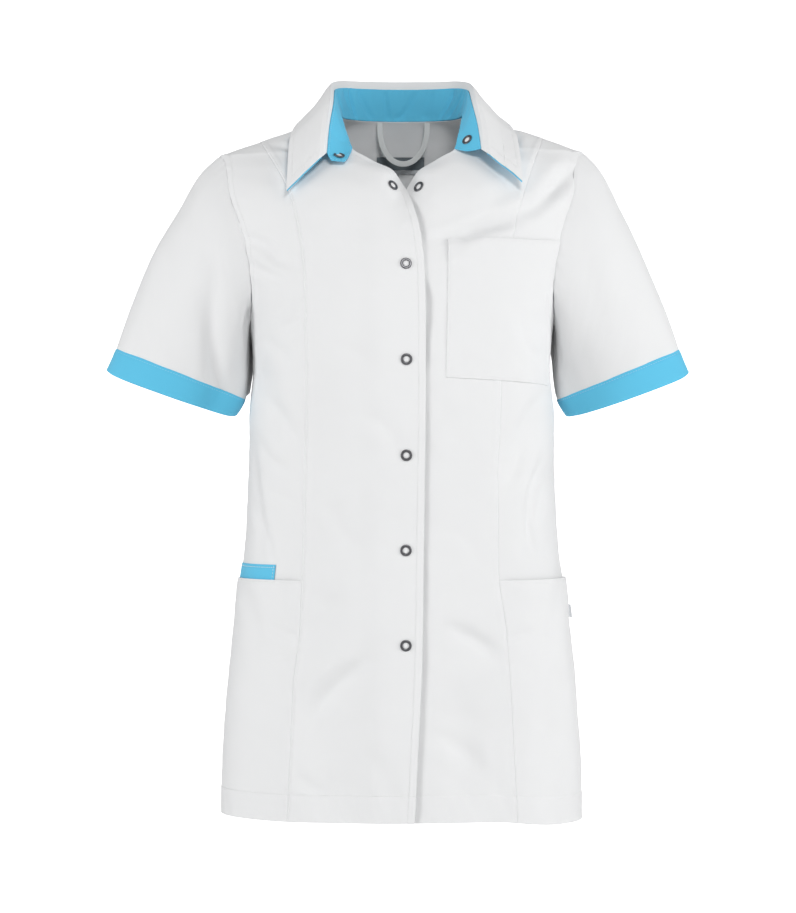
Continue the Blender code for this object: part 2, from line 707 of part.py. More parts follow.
def collar_skin(station, fall):
    """The leaf's upper face, from the top of the stand (0) over its crest to its free edge (1)."""
    lines = [collar_line(name, station) for name in COLLAR_COLUMNS[1:]]
    where = np.array(COLLAR_FALL)
    points = np.zeros(station.shape + (3,))
    for i in range(len(where)):
        share = [1.0 if k == i else 0.0 for k in range(len(where))]
        points += lines[i] * smooth(where, share, fall)[:, None]
    rise = LEFT_END_RISE + (LEFT_POINT_RISE - LEFT_END_RISE) * fall
    points[:, 2] += rise * ease(*LEFT_RISE_STATIONS, station)
    return points


def stand_skin(station, rise):
    """The stand's outer face, from the neck seam (0) to its top (1), with the rounded tab at its end."""
    on_neck = np.clip(station, -1, 1)
    seam, top = neck_seam(on_neck), collar_line("stand_top", on_neck)
    top[:, 2] += LEFT_END_RISE * ease(*LEFT_RISE_STATIONS, on_neck)
    past = np.clip((np.abs(station) - 1) / (STAND_TAB_STATION - 1), 0, 1)
    side = np.sign(station)[:, None] * np.array([1, 0, 0]) + np.array([0, 1, 1])
    seam = seam + (np.array(STAND_TAB["seam"]) * MM * side - seam) * past[:, None]
    top = top + (np.array(STAND_TAB["top"]) * MM * side - top) * past[:, None]
    rise = 0.5 + (rise - 0.5) * np.sqrt(1 - STAND_TAB_ROUND * past**2)
    points = seam + (top - seam) * rise[:, None]
    points[:, 2] -= STAND_BOW * np.sin(math.pi * rise) * (1 - past)
    return points


def sheet_normal(surface, first, second):
    """The normal of a sheet given by two parameters, on the side from which they run anticlockwise."""
    across = surface(first + SHEET_STEP, second) - surface(first - SHEET_STEP, second)
    lower, upper = np.clip(second - SHEET_STEP, 0, 1), np.clip(second + SHEET_STEP, 0, 1)
    return unit(np.cross(across, surface(first, upper) - surface(first, lower)))


def collar_stand(material):
    """The stand, which carries the leaf. It ends in a rounded tab at the wearer's right front."""

    def place(across, along, inner):
        station = -STAND_TAB_STATION + (STAND_TAB_STATION + STAND_LEFT_END) * across
        towards_neck = sheet_normal(stand_skin, station, along)
        return stand_skin(station, along) + towards_neck * (inner * COLLAR_WALL)[:, None]

    return slab("collar_stand", *STAND_GRID, place, material)


def collar_layer(name, start, below, trim, material):
    """A layer of the collar's leaf, from where it starts to its free edge.

    It lies this far below the leaf's upper face, and it is trimmed by this share at its edges.
    """

    def place(across, along, inner):
        station = (2 * across - 1) * (1 - trim / 2)
        fall = start + (1 - trim / 3 - start) * along**COLLAR_CROWD
        down = -sheet_normal(collar_skin, station, fall)
        return collar_skin(station, fall) + down * (below + inner * COLLAR_WALL)[:, None]

    return slab(name, *LEAF_GRID, place, material)


def patch(name, columns, rows, corners, lift, wall, material):
    """A piece laid on the body's front: corners(across, along) gives its turns and heights."""

    def place(across, along, inner):
        turn, height = corners(across, along)
        return raised(turn, height, lift(turn, height) + (1 - inner) * wall)

    return slab(name, columns, rows, place, material)


def chest_pocket(material):
    """The chest pocket on the wearer's left, caught in the armhole and closed on its other sides."""

    def corners(across, along):
        drop = CHEST_POCKET_DROP + CHEST_POCKET_SLOPE * across
        height = CHEST_POCKET_TOP_HEIGHT - drop * along
        first = turn_at_x(CHEST_POCKET_EDGE - CHEST_POCKET_LEAN * along, height)
        free_x = smooth((CHEST_POCKET_FREE_HEIGHT, CHEST_POCKET_TOP_HEIGHT), CHEST_POCKET_SIDE, height)
        last = np.minimum(outer_turn("left", "front", height) - CHEST_POCKET_INSET, turn_at_x(free_x, height))
        return first + (last - first) * across, height

    def lift(turn, height):
        start = CHEST_POCKET_TOP_HEIGHT - CHEST_POCKET_GAPE_DROP
        return CHEST_POCKET_LIFT + CHEST_POCKET_GAPE * ease(start, CHEST_POCKET_TOP_HEIGHT, height)

    return patch("chest_pocket", *CHEST_POCKET_GRID, corners, lift, WALL, material)


def hip_pocket(side, material):
    """A pocket over the whole lower part of the side panel, caught in its seams and in the hem."""

    rows = hem_heights()
    rows = np.concatenate([[POCKET_TOP_HEIGHT], rows[rows < POCKET_TOP_HEIGHT]])

    def corners(across, along):
        height = read_rows(rows, along)
        first, last = side_edges(side, height)
        return first + (last - first) * across, height

    def lift(turn, height):
        start = POCKET_TOP_HEIGHT - POCKET_GAPE_DROP
        return LAYER_GAP + POCKET_GAPE * ease(start, POCKET_TOP_HEIGHT, height)

    return patch(f"pocket_{side}", SIDE_COLUMNS, len(rows) - 1, corners, lift, WALL, material)


def inner_pocket(material):
    """The top of the small coloured pocket that stands out of the wearer's right hip pocket."""

    shares = (INNER_POCKET_EDGE, *(np.arange(2, SIDE_COLUMNS) / SIDE_COLUMNS), INNER_POCKET_END)

    def corners(across, along):
        height = POCKET_TOP_HEIGHT + INNER_POCKET_RISE - INNER_POCKET_LENGTH * along
        first, last = side_edges("right", height)
        return first + (last - first) * read_rows(shares, across), height

    def lift(turn, height):
        return INNER_POCKET_LIFT

    columns = len(shares) - 1
    return patch("inner_pocket", columns, INNER_POCKET_ROWS, corners, lift, INNER_POCKET_WALL, material)


def ring_snap(name, place, normal, material):
    """A ring snap: the open metal ring that shows round the fabric, seated on the cloth."""
    around, across = SNAP_SEGMENTS
    bpy.ops.mesh.primitive_torus_add(
        major_segments=around,
        minor_segments=across,
        major_radius=SNAP_RING_RADIUS,
        minor_radius=SNAP_WIRE_RADIUS,
    )
    snap = bpy.context.object
    snap.name = snap.data.name = name
    normal = Vector(normal)
    snap.location = Vector(place) + normal * (SNAP_WIRE_RADIUS + SNAP_SEAT)
    snap.rotation_euler = normal.to_track_quat("Z", "Y").to_euler()
    return show(snap, material)


def snaps(material):
    """The closed snaps down the front, the open pair above them, and the pair on the collar's stand."""
    spots = [(f"snap_{i + 1}", 0.0, height, over_lift) for i, height in enumerate(SNAP_HEIGHTS)]
    spots.append(("snap_top_right", OPEN_SNAPS["right"], OPEN_SNAP_HEIGHT, over_lift))
    spots.append(("snap_top_left", OPEN_SNAPS["left"], OPEN_SNAP_HEIGHT, flush))
    for name, x, height, lift in spots:
        height = np.array([height])
        turn = turn_at_x(np.array([x]), height)
        base = raised(turn, height, lift(turn, height))
        above = raised(turn, height, lift(turn, height) + MM)
        ring_snap(name, base[0], unit(above - base)[0], material)
    for side, station in COLLAR_SNAPS.items():
        station, rise = np.array([station]), np.array([COLLAR_SNAP_RISE])
        normal = sheet_normal(stand_skin, station, rise)
        base = stand_skin(station, rise) + normal * (COLLAR_WALL + COLLAR_SNAP_CLEAR)
        ring_snap(f"snap_collar_{side}", base[0], normal[0], material)


def hanger_loop(material):
    """A loop of narrow tape that hangs inside the back of the neck."""

    def place(across, along, inner):
        angle = (2 * across - 1) * math.pi / 2
        drop = -LOOP_DROP * np.cos(angle) ** LOOP_ROUNDNESS
        middle = np.stack([LOOP_MIDDLE + LOOP_HALF_WIDTH * np.sin(angle), drop])
        ahead = np.stack([LOOP_HALF_WIDTH * np.cos(angle), LOOP_DROP * np.sin(angle)])
        sideways = np.stack([-ahead[1], ahead[0]]) / np.hypot(*ahead)
        x, drop = middle + sideways * TAPE_WIDTH * (along - 0.5)
        neck = np.full_like(x, LOOP_TOP_HEIGHT)
        points = raised(math.pi - turn_at_x(x, neck), neck, np.full_like(x, -WALL - TAPE_GAP))
        points[:, 1] -= inner * TAPE_WALL + LOOP_SLOPE * drop
        points[:, 2] += drop
        return points

    return slab("hanger_loop", *LOOP_GRID, place, material)


def back_label(name, left, right, top, bottom, material):
    """A bare label inside the back of the neck."""

    def place(across, along, inner):
        height = top + (bottom - top) * along
        turn = math.pi - turn_at_x(left + (right - left) * across, height)
        return raised(turn, height, -(WALL + LABEL_GAP) - inner * LABEL_WALL)

    return slab(name, *LABEL_GRID, place, material)


def side_label(material):
    """The small bare label caught in the wearer's left side seam."""

    def place(across, along, inner):
        height = SIDE_LABEL_TOP + (SIDE_LABEL_BOTTOM - SIDE_LABEL_TOP) * along - SIDE_LABEL_DROOP * across
        root = raised(np.full_like(height, math.pi / 2), height, LAYER_GAP + SIDE_LABEL_REACH * across)
        root[:, 1] += LAYER_GAP / 2 + inner * LABEL_WALL
        return root

    return slab("side_label", *SIDE_LABEL_GRID, place, material)


def finish(name, colour, roughness, metallic=0.0, sheen=0.0):
    """A Principled material."""
    material = bpy.data.materials.new(name)
    material.use_nodes = True
    shader = material.node_tree.nodes["Principled BSDF"]
    shader.inputs["Base Color"].default_value = (*colour, 1)
    shader.inputs["Roughness"].default_value = roughness
    shader.inputs["Metallic"].default_value = metallic
    shader.inputs["Sheen Weight"].default_value = sheen
    material.diffuse_color = (*colour, 1)
    return material


def main():
    for thing in list(bpy.data.objects):
        bpy.data.objects.remove(thing, do_unlink=True)
    bpy.context.scene.collection.children.link(bpy.data.collections.new(GARMENT))

    white = finish("white_twill", (0.84, 0.85, 0.87), 0.8, sheen=0.15)
    blue = finish("blue_twill", (0.09, 0.47, 0.70), 0.8, sheen=0.15)
    metal = finish("snap_metal", (0.62, 0.62, 0.63), 0.3, metallic=1.0)
    tape = finish("white_tape", (0.78, 0.79, 0.78), 0.85)
    dark = finish("dark_label", (0.12, 0.14, 0.15), 0.8)
    pale = finish("pale_label", (0.62, 0.64, 0.65), 0.8)

    for side in SIDES:
        front_centre(side, white)
        front_side(side, white)
        sleeve(side, white)
        cuff(side, blue)
        hip_pocket(side, white)
    back(white)
    collar_stand(blue)
    collar_layer("collar_leaf", COLLAR_START, 0.0, 0.0, white)
    collar_layer("undercollar", UNDERCOLLAR_START, COLLAR_WALL + UNDERCOLLAR_GAP, UNDERCOLLAR_TRIM, blue)
    chest_pocket(white)
    inner_pocket(blue)
    snaps(metal)
    hanger_loop(tape)
    back_label("neck_label", *NECK_LABEL, dark)
    back_label("size_label", *SIZE_LABEL, pale)
    side_label(pale)


main()
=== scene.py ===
import math
import bpy
import numpy as np
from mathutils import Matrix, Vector
from mathutils.bvhtree import BVHTree


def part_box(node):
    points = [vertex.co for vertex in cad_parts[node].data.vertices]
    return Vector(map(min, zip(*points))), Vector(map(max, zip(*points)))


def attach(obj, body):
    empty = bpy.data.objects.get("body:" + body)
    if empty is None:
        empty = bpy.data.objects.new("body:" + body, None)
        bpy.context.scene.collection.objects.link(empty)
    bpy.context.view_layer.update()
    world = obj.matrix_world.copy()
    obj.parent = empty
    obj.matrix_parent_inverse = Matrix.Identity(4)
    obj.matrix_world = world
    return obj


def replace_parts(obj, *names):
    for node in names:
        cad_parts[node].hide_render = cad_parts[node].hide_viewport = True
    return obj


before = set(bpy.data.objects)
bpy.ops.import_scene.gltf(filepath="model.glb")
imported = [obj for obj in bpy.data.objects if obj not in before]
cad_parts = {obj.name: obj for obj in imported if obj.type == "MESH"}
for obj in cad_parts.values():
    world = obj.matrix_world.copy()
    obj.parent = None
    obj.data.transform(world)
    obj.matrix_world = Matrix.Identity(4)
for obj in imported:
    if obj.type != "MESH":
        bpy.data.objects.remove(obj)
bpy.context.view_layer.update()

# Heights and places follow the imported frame: the origin is midway between the two points where the
# shoulder seams meet the neck, the front faces -Y and the wearer's left is +X. Tables are in millimetres.
mm = 0.001
sides = {"right": -1.0, "left": 1.0}

body = {
    "wall": 0.9 * mm,
    "seamGap": 0.12 * mm,
    "neckTop": -0.7 * mm,
    "backTop": -0.3 * mm,
    "neckEnd": -40 * mm,
    "shoulderTip": -43 * mm,
    "underarm": -222 * mm,
    "princessTop": -28.3 * mm,
    "ventTop": -690 * mm,
    "ventGap": 2.6 * mm,
    "hem": -728 * mm,
    "hemDepth": 27 * mm,
}
hemLine = body["hem"] + body["hemDepth"]
overlap = {"rise": 2.15 * mm, "start": -50 * mm, "end": -25 * mm}

# The body in level rings: reach to the side, forwards and backwards, and the power of the rounded outline.
ringTable = (
    ("height", "side", "front", "back", "power"),
    (8, 40, 6, 52, 2.4),
    (0, 64, 14, 58, 2.4),
    (-14, 106, 31, 64.5, 2.05),
    (-28, 147.5, 50, 70, 1.7),
    (-40, 183, 65, 74, 1.55),
    (-43, 191, 68, 75, 1.55),
    (-60, 198, 84, 80, 1.75),
    (-84, 196, 100, 86.5, 2.07),
    (-125, 184.5, 115, 94.5, 2.32),
    (-147, 178, 122, 98, 2.4),
    (-185, 167, 132, 102, 2.4),
    (-222, 158.5, 137, 102, 2.4),
    (-267, 155.5, 138, 100, 2.4),
    (-319, 159.5, 134, 97, 2.4),
    (-372, 160, 128, 93, 2.4),
    (-420, 162, 124, 92, 2.4),
    (-466, 166, 122, 95, 2.4),
    (-509, 172, 121, 101, 2.4),
    (-550, 177, 121, 106, 2.4),
    (-614, 183, 123, 111, 2.4),
    (-677, 187, 126, 113, 2.4),
    (-728, 188, 129, 114, 2.4),
)

# Where the two fronts end across the chest, and how far the open neck edges dive inwards.
edgeTable = (
    ("height", "over", "under"),
    (0, -64, 64),
    (-12, -61.5, 61.5),
    (-28, -57, 57),
    (-40, -53, 53),
    (-49, -41, 38),
    (-57, -29.5, 25),
    (-64.5, -13.5, 14),
    (-75, -5, 7),
    (-92, 4.8, -2),
    (-112, 11, -10),
    (-137, 15.6, -14),
    (-168, 18.2, -16.5),
    (-200, 19, -17.5),
    (-300, 19, -17.5),
    (-432, 17.8, -18),
    (-556, 16.3, -19),
    (-640, 12.5, -21),
    (-728, 8, -24),
)
diveTable = (
    ("height", "depth"),
    (-40, 0),
    (-48, 8),
    (-60, 19),
    (-75, 24),
    (-92, 15),
    (-106, 7),
    (-125, 1.5),
    (-142, 0),
)
dive = {"width": 17 * mm, "reach": 10 * mm}

# The soft hollow of the under front beside the over front's edge: how far it reaches and how deep it is.
shadeTable = (
    ("height", "reach", "sink"),
    (-94, 7, 0),
    (-104, 9, 2.1),
    (-130, 8, 2.1),
    (-150, 5, 1.0),
    (-172, 3.5, 0.5),
    (-184, 5.5, 1.8),
    (-200, 10, 3.0),
    (-217, 10, 3.0),
    (-230, 7.5, 2.9),
    (-246, 6, 2.6),
    (-265, 5, 1.8),
    (-277, 3.5, 0.6),
    (-292, 5.5, 0.9),
    (-320, 6, 1.3),
    (-361, 6, 1.2),
    (-420, 7, 1.4),
    (-520, 8, 1.6),
    (-600, 9, 1.9),
    (-728, 8, 1.9),
)

princessTable = (
    ("height", "right", "left"),
    (-28, -147.5, 147.5),
    (-90, -117, 122),
    (-136, -107, 109),
    (-176, -103, 101),
    (-300, -101, 96.5),
    (-400, -103, 94),
    (-462, -104, 94),
    (-543, -109, 104),
    (-605, -115, 108),
    (-728, -120, 114),
)

armholes = {"right": {"front": 61 * mm, "back": 57 * mm}, "left": {"front": 66 * mm, "back": 57 * mm}}
armhole = {
    "lowShare": 0.33,
    "middle": (body["shoulderTip"] + body["underarm"]) / 2,
    "half": (body["shoulderTip"] - body["underarm"]) / 2,
}

# The largest folds: both ends across and up, the half width of the trough and how far it sinks.
largeFolds = (
    ("face", "startX", "startZ", "endX", "endZ", "width", "sink"),
    ("front", 140, -62, 62, -128, 15, 5),
    ("front", 128, -50, 104, -104, 11, -3),
    ("front", -158, -130, -116, -154, 14, 3.5),
    ("front", -152, -262, -128, -338, 14, 4),
    ("front", 146, -310, 96, -384, 15, 4),
    ("front", 152, -366, 126, -430, 13, 3),
    ("front", -70, -500, -112, -548, 15, 3),
    ("front", 46, -540, 96, -566, 15, 3.5),
    ("front", -52, -590, -72, -735, 26, 6),
    ("front", 62, -600, 70, -735, 28, 6),
    ("front", -146, -600, -160, -735, 20, 4),
    ("front", 150, -590, 158, -735, 20, 4),
    ("back", -120, -60, -60, -130, 18, 4),
    ("back", 122, -64, 66, -136, 18, 4),
    ("back", -140, -330, -60, -372, 18, 4),
    ("back", 142, -320, 64, -366, 18, 4),
    ("back", -70, -560, -84, -735, 30, 6),
    ("back", 60, -540, 78, -735, 32, 7),
)

# The finer creases, each with a bend in its line. No two are alike in length, depth or spacing.
fineCreases = (
    ("face", "startX", "startZ", "endX", "endZ", "width", "sink", "bend"),
    ("front", 186, -52, 138, -88, 8, 2.6, 4),
    ("front", 164, -74, 112, -112, 7, 2.4, 5),
    ("front", 121, -20, 108, -42, 5, 1.8, 2),
    ("front", 112, -112, 54, -134, 7, 2.0, -3),
    ("front", 80, -119, 26, -138, 6, 1.6, 3),
    ("front", -155, -345, -137, -455, 4, 1.3, -4),
    ("front", -160, -392, -146, -458, 4, 0.9, 3),
    ("front", 139, -366, 131, -447, 3.5, 1.7, -8),
    ("front", -30, -552, -100, -612, 16, 2.3, 6),
    ("front", 60, -596, 50, -716, 27, 2.4, 6),
    ("front", -88, -606, -76, -716, 25, 2.3, -5),
    ("front", 112, -118, 58, -137, 6, 1.3, -3),
    ("front", 70, -132, 22, -150, 8, 0.8, 4),
    ("front", 132, -92, 88, -112, 5, 0.8, 2),
    ("front", -117, -23, -108, -42, 4, 2.2, 1),
    ("front", -138, -34, -116, -40, 3.5, 1.0, 2),
    ("front", -136, -62, -118, -96, 8, 0.9, -3),
    ("front", -162, -132, -128, -156, 6, 1.7, 3),
    ("front", -158, -158, -126, -176, 4.5, 1.4, -2),
    ("front", -134, -158, -108, -166, 5, 0.7, 2),
    ("front", -104, -196, -126, -232, 6, 1.1, 4),
    ("front", -96, -214, -84, -262, 7, 0.5, -4),
    ("front", -142, -236, -120, -262, 6, 0.8, 3),
    ("front", -143, -296, -108, -350, 6, 0.9, 5),
    ("front", -150, -340, -122, -372, 5, 0.8, -3),
    ("front", -134, -392, -106, -420, 7, 0.7, 3),
    ("front", 146, -292, 112, -344, 6, 1.0, -5),
    ("front", 120, -352, 98, -398, 5, 0.8, 3),
    ("front", 140, -396, 118, -452, 6, 0.9, 4),
    ("front", 118, -214, 138, -262, 6, 0.7, -4),
    ("front", -40, -316, -4, -354, 8, 0.8, 5),
    ("front", -66, -246, -30, -268, 9, 0.5, 3),
    ("front", 34, -300, 62, -352, 9, 0.6, -5),
    ("front", 78, -250, 52, -292, 8, 0.5, 4),
    ("front", -78, -404, -52, -448, 8, 0.6, -4),
    ("front", 44, -430, 78, -470, 8, 0.7, 5),
    ("front", -48, -570, -98, -628, 10, 1.8, -6),
    ("front", -138, -532, -108, -544, 4, 1.0, 2),
    ("front", -132, -560, -112, -566, 3.5, 0.9, -1),
    ("front", 128, -536, 100, -546, 4, 1.0, -2),
    ("front", 45, -531, 93, -561, 8, 2.2, 3),
    ("front", 34, -640, 88, -690, 9, 1.2, 6),
    ("front", -110, -682, -84, -698, 5, 1.2, -2),
    ("front", -36, -660, -14, -712, 9, 0.9, 4),
    ("front", 92, -650, 102, -716, 7, 0.9, -3),
    ("front", -168, -480, -150, -560, 7, 0.9, 4),
    ("front", 170, -470, 150, -548, 7, 0.8, -4),
    ("back", -104, -70, -74, -112, 7, 1.8, -4),
    ("back", 136, -92, 92, -140, 6, 1.7, 4),
    ("back", -36, -62, -50, -118, 8, 1.0, 3),
    ("back", 24, -70, 40, -124, 9, 0.9, -3),
    ("back", -146, -166, -112, -206, 7, 1.8, 4),
    ("back", 150, -172, 118, -222, 8, 2.0, -5),
    ("back", -128, -232, -92, -262, 6, 1.2, 3),
    ("back", 134, -240, 84, -280, 7, 1.4, 4),
    ("back", -150, -300, -88, -338, 8, 2.1, -6),
    ("back", 152, -296, 96, -330, 8, 2.0, 5),
    ("back", -120, -368, -30, -388, 8, 1.7, 5),
    ("back", 118, -362, 22, -392, 9, 1.8, -6),
    ("back", -146, -392, -70, -418, 7, 1.4, -4),
    ("back", 140, -388, 80, -430, 7, 1.2, 4),
    ("back", -16, -340, 20, -352, 7, 0.8, 2),
    ("back", -34, -430, -44, -520, 10, 1.0, 5),
    ("back", 30, -420, 36, -506, 10, 0.9, -5),
    ("back", -120, -500, -134, -600, 10, 1.5, 5),
    ("back", 122, -488, 132, -590, 10, 1.4, -5),
    ("back", 6, -560, -8, -716, 14, 1.8, 6),
    ("back", -128, -620, -146, -724, 10, 1.8, 4),
    ("back", 132, -612, 150, -724, 11, 1.7, -4),
)

# How far every piece is raised over the wearer's left shoulder, and the front of the hem hangs at that side.
settling = {"rise": 5 * mm, "across": (95 * mm, 130 * mm), "up": (-100 * mm, -50 * mm)}
droop = {
    "drop": 7 * mm,
    "across": (85 * mm, 165 * mm),
    "down": (-600 * mm, -725 * mm),
    "ahead": (-10 * mm, 30 * mm),
}

# The record's slot for each finish, then what is gathered while the pieces are made.
slots = {
    "whiteTwill": "white_twill",
    "blueTwill": "blue_twill",
    "thread": "white_twill",
    "blueThread": "blue_twill",
    "ringMetal": "snap_metal",
    "tape": "white_tape",
    "darkLabel": "dark_label",
    "paleLabel": "pale_label",
}
finishes = {name: bpy.data.materials.new(name) for name in slots}
stitches = {"white": [], "blue": []}
cuts = []
trees = {}


def smoothCurve(knots, values, at):
    # a curve through the values at rising knots that never overshoots them
    knots, values = np.asarray(knots, float), np.asarray(values, float)
    span = np.diff(knots)
    slope = np.diff(values) / span
    before, after = slope[:-1], slope[1:]
    turns = before * after <= 0
    late, early = 2 * span[1:] + span[:-1], span[1:] + 2 * span[:-1]
    mean = (late + early) / (late / np.where(turns, 1, before) + early / np.where(turns, 1, after))
    tangent = np.concatenate([slope[:1], np.where(turns, 0, mean), slope[-1:]])
    at = np.clip(at, knots[0], knots[-1])
    i = np.clip(np.searchsorted(knots, at, side="right") - 1, 0, len(span) - 1)
    t = (at - knots[i]) / span[i]
    start = (1 + 2 * t) * (1 - t) ** 2 * values[i] + t * (1 - t) ** 2 * span[i] * tangent[i]
    end = t * t * (3 - 2 * t) * values[i + 1] + t * t * (t - 1) * span[i] * tangent[i + 1]
    return start + end


def tableCurve(table, name, height):
    # one column of a table that runs from the top down, read at heights in metres
    rows = table[:0:-1]
    values = [row[table[0].index(name)] for row in rows]
    return smoothCurve([row[0] for row in rows], values, np.asarray(height) / mm) * mm


def ease(start, end, at):
    # 0 before start, 1 past end and a soft step between
    t = np.clip((np.asarray(at) - start) / (end - start), 0, 1)
    return t * t * (3 - 2 * t)


def bell(at, width):
    return np.exp(-((at / width) ** 2))


def unit(vectors):
    return vectors / np.maximum(np.linalg.norm(vectors, axis=-1, keepdims=True), 1e-12)


def settle(points):
    # the last unevenness of the whole garment: one shoulder is higher, and that side's front hem hangs lower
    x, y, z = np.moveaxis(points, -1, 0)
    rise = settling["rise"] * ease(*settling["across"], x) * ease(*settling["up"], z)
    fall = droop["drop"] * ease(*droop["across"], x) * ease(*droop["down"], z)
    fall = fall * (1 - ease(*droop["ahead"], y))
    return points + np.array([0, 0, 1]) * (rise - fall)[..., None]


def bodyRing(height):
    side, front, back = (tableCurve(ringTable, name, height) for name in ("side", "front", "back"))
    return side, front, back, tableCurve(ringTable, "power", height) / mm


def bodyForm(turn, height):
    # the body without folds: level rings of x = side * sin^(2/p), y = depth * cos^(2/p) of the turn
    side, front, back, power = bodyRing(height)
    across, ahead = np.sin(turn), np.cos(turn)
    x = side * np.sign(across) * np.abs(across) ** (2 / power)
    y = np.where(ahead >= 0, -front, back) * np.abs(ahead) ** (2 / power)
    return np.stack(np.broadcast_arrays(x, y, height), axis=-1)


def turnAtX(x, height):
    side, _, _, power = bodyRing(height)
    return np.sign(x) * np.arcsin(np.clip(np.abs(x) / side, 0, 1) ** (power / 2))


def turnAtY(y, height, face, side):
    _, front, back, power = bodyRing(height)
    share = np.clip(np.abs(y) / (front if face == "front" else back), 0, 1) ** (power / 2)
    return sides[side] * (np.arccos(share) if face == "front" else math.pi - np.arccos(share))


def foldDepth(points, table, ridge=0.0):
    # each fold is a trough along its line: a bell across it that comes up and dies away along it, with a
    # lower ridge at each side, and it fades near the shoulder seams' plane
    x, y, z = np.moveaxis(points, -1, 0)
    total = np.zeros_like(x)
    for row in table[1:]:
        fold = dict(zip(table[0], row))
        startX, startZ = fold["startX"] * mm, fold["startZ"] * mm
        alongX, alongZ = fold["endX"] * mm - startX, fold["endZ"] * mm - startZ
        length = math.hypot(alongX, alongZ)
        run = ((x - startX) * alongX + (z - startZ) * alongZ) / length**2
        off = ((x - startX) * alongZ - (z - startZ) * alongX) / length
        off = off + fold.get("bend", 0) * mm * np.sin(math.pi * np.clip(run, -0.3, 1.3))
        facing = ease(0.01, 0.05, -y if fold["face"] == "front" else y)
        reach = ease(-0.25, 0.3, run) * (1 - ease(0.7, 1.25, run)) * facing
        width = fold["width"] * mm
        shape = bell(off, width) - ridge * (bell(off - 1.9 * width, width) + bell(off + 1.9 * width, width))
        total += fold["sink"] * mm * reach * shape
    return total


def neckDive(points, height):
    # how far the two open neck edges dive inwards, deepest along the edges and gone below the top snap
    over, under = (tableCurve(edgeTable, name, height) for name in ("over", "under"))
    half = np.maximum((under - over) / 2 - dive["reach"], 0)
    off = np.maximum(np.abs(points[..., 0] - (over + under) / 2) - half, 0)
    return np.where(points[..., 1] < 0, tableCurve(diveTable, "depth", height) * bell(off, dive["width"]), 0)


def bodySkin(turn, height):
    # the form, sunk along its own normal by the large folds, with the dive of the open neck
    points = bodyForm(turn, height)
    across = bodyForm(turn + 0.004, height) - bodyForm(turn - 0.004, height)
    up = bodyForm(turn, height + 0.5 * mm) - bodyForm(turn, height - 0.5 * mm)
    points = points - unit(np.cross(across, up)) * foldDepth(points, largeFolds)[..., None]
    points[..., 1] += neckDive(points, height)
    return points


def bodyFace(turn, height):
    # the skin, and the way out of it
    across = bodySkin(turn + 0.006, height) - bodySkin(turn - 0.006, height)
    up = bodySkin(turn, height + mm) - bodySkin(turn, height - mm)
    return bodySkin(turn, height), unit(np.cross(across, up))


def princessX(side, height):
    return tableCurve(princessTable, side, height)


def outerTurn(side, face, height):
    # the edge of a front or the back at the shoulder seam, the armhole's oval and the side seam
    edge = body["seamGap"] / 2 + body["ventGap"] / 2 * ease(body["ventTop"], body["ventTop"] - 0.02, height)
    rise = np.clip((height - armhole["middle"]) / armhole["half"], -1, 1)
    oval = armholes[side][face] * np.sqrt(np.clip(1 - rise**2, 0, 1)) * (1 - armhole["lowShare"] * rise)
    return turnAtY(np.maximum(oval, edge), height, face, side)


def armholeLevel(points, side, face):
    # below 0 inside the armhole's oval, above 0 outside it
    rise = (points[..., 2] - armhole["middle"]) / armhole["half"]
    reach = armholes[side][face] * np.maximum(1 - armhole["lowShare"] * rise, 0.2)
    return np.hypot(rise, points[..., 1] / reach) - 1


def surfaceDistance(points, level):
    # the distance over the surface to where level is 0: the level over the size of its gradient there
    down, across = np.gradient(points, axis=0), np.gradient(points, axis=1)
    levelDown, levelAcross = np.gradient(level, axis=0), np.gradient(level, axis=1)
    dd, aa, da = (down**2).sum(-1), (across**2).sum(-1), (down * across).sum(-1)
    size = aa * levelDown**2 - 2 * da * levelDown * levelAcross + dd * levelAcross**2
    return level / np.sqrt(np.maximum(size / np.maximum(dd * aa - da**2, 1e-20), 1e-9))


def wander(u, v, amount):
    # gentle unevenness: waves of unlike lengths, directions and starts added up
    waves = ((47, 0.3, 1.1), (31, 1.4, 2.9), (69, 2.3, 0.4), (24, 0.9, 5.1), (38, 2.8, 3.7), (17, 2.0, 1.9))
    total = 0
    for length, direction, start in waves:
        way = u * math.cos(direction) + v * math.sin(direction)
        phase = 2 * math.pi * way / (length * mm) + start + 0.8 * np.sin(way / 0.11)
        total = total + length / 40 * np.sin(phase)
    return amount * total / 2.4


def pucker(distance, along, amount, length=11 * mm, reach=6 * mm):
    # the small waves that a sewn line draws into the cloth beside it
    wave = np.sin(2 * math.pi * along / length + 1.8 * np.sin(along / 0.017) + 2.3 * np.sin(along / 0.041))
    return amount * wave * bell(distance, reach)


def seamEdge(distance, rise=0.0, band=7 * mm, roll=0.45 * mm):
    # allowances under the cloth raise a band beside its edge, and the edge itself rolls down
    return rise * (1 - ease(band - 1.5 * mm, band + 1.5 * mm, distance)) - roll * bell(distance, 0.9 * mm)


def groove(distance, depth=0.3 * mm, width=0.75 * mm):
    return -depth * bell(distance, width)


def evenRows(start, end, step):
    count = max(int(math.ceil(abs(end - start) / step)), 1)
    return np.linspace(start, end, count + 1)[:-1]


def hemRows(start):
    # down to the hem, close together at the hem's stitches and at its fold
    return np.concatenate([
        evenRows(start, hemLine + 3 * mm, rowStep["body"]),
        evenRows(hemLine + 3 * mm, hemLine - 3 * mm, rowStep["hemStitch"]),
        evenRows(hemLine - 3 * mm, body["hem"] + 4.5 * mm, rowStep["hem"]),
        body["hem"] + np.array([4.5, 2.4, 1.2, 0.45, 0]) * mm,
    ])


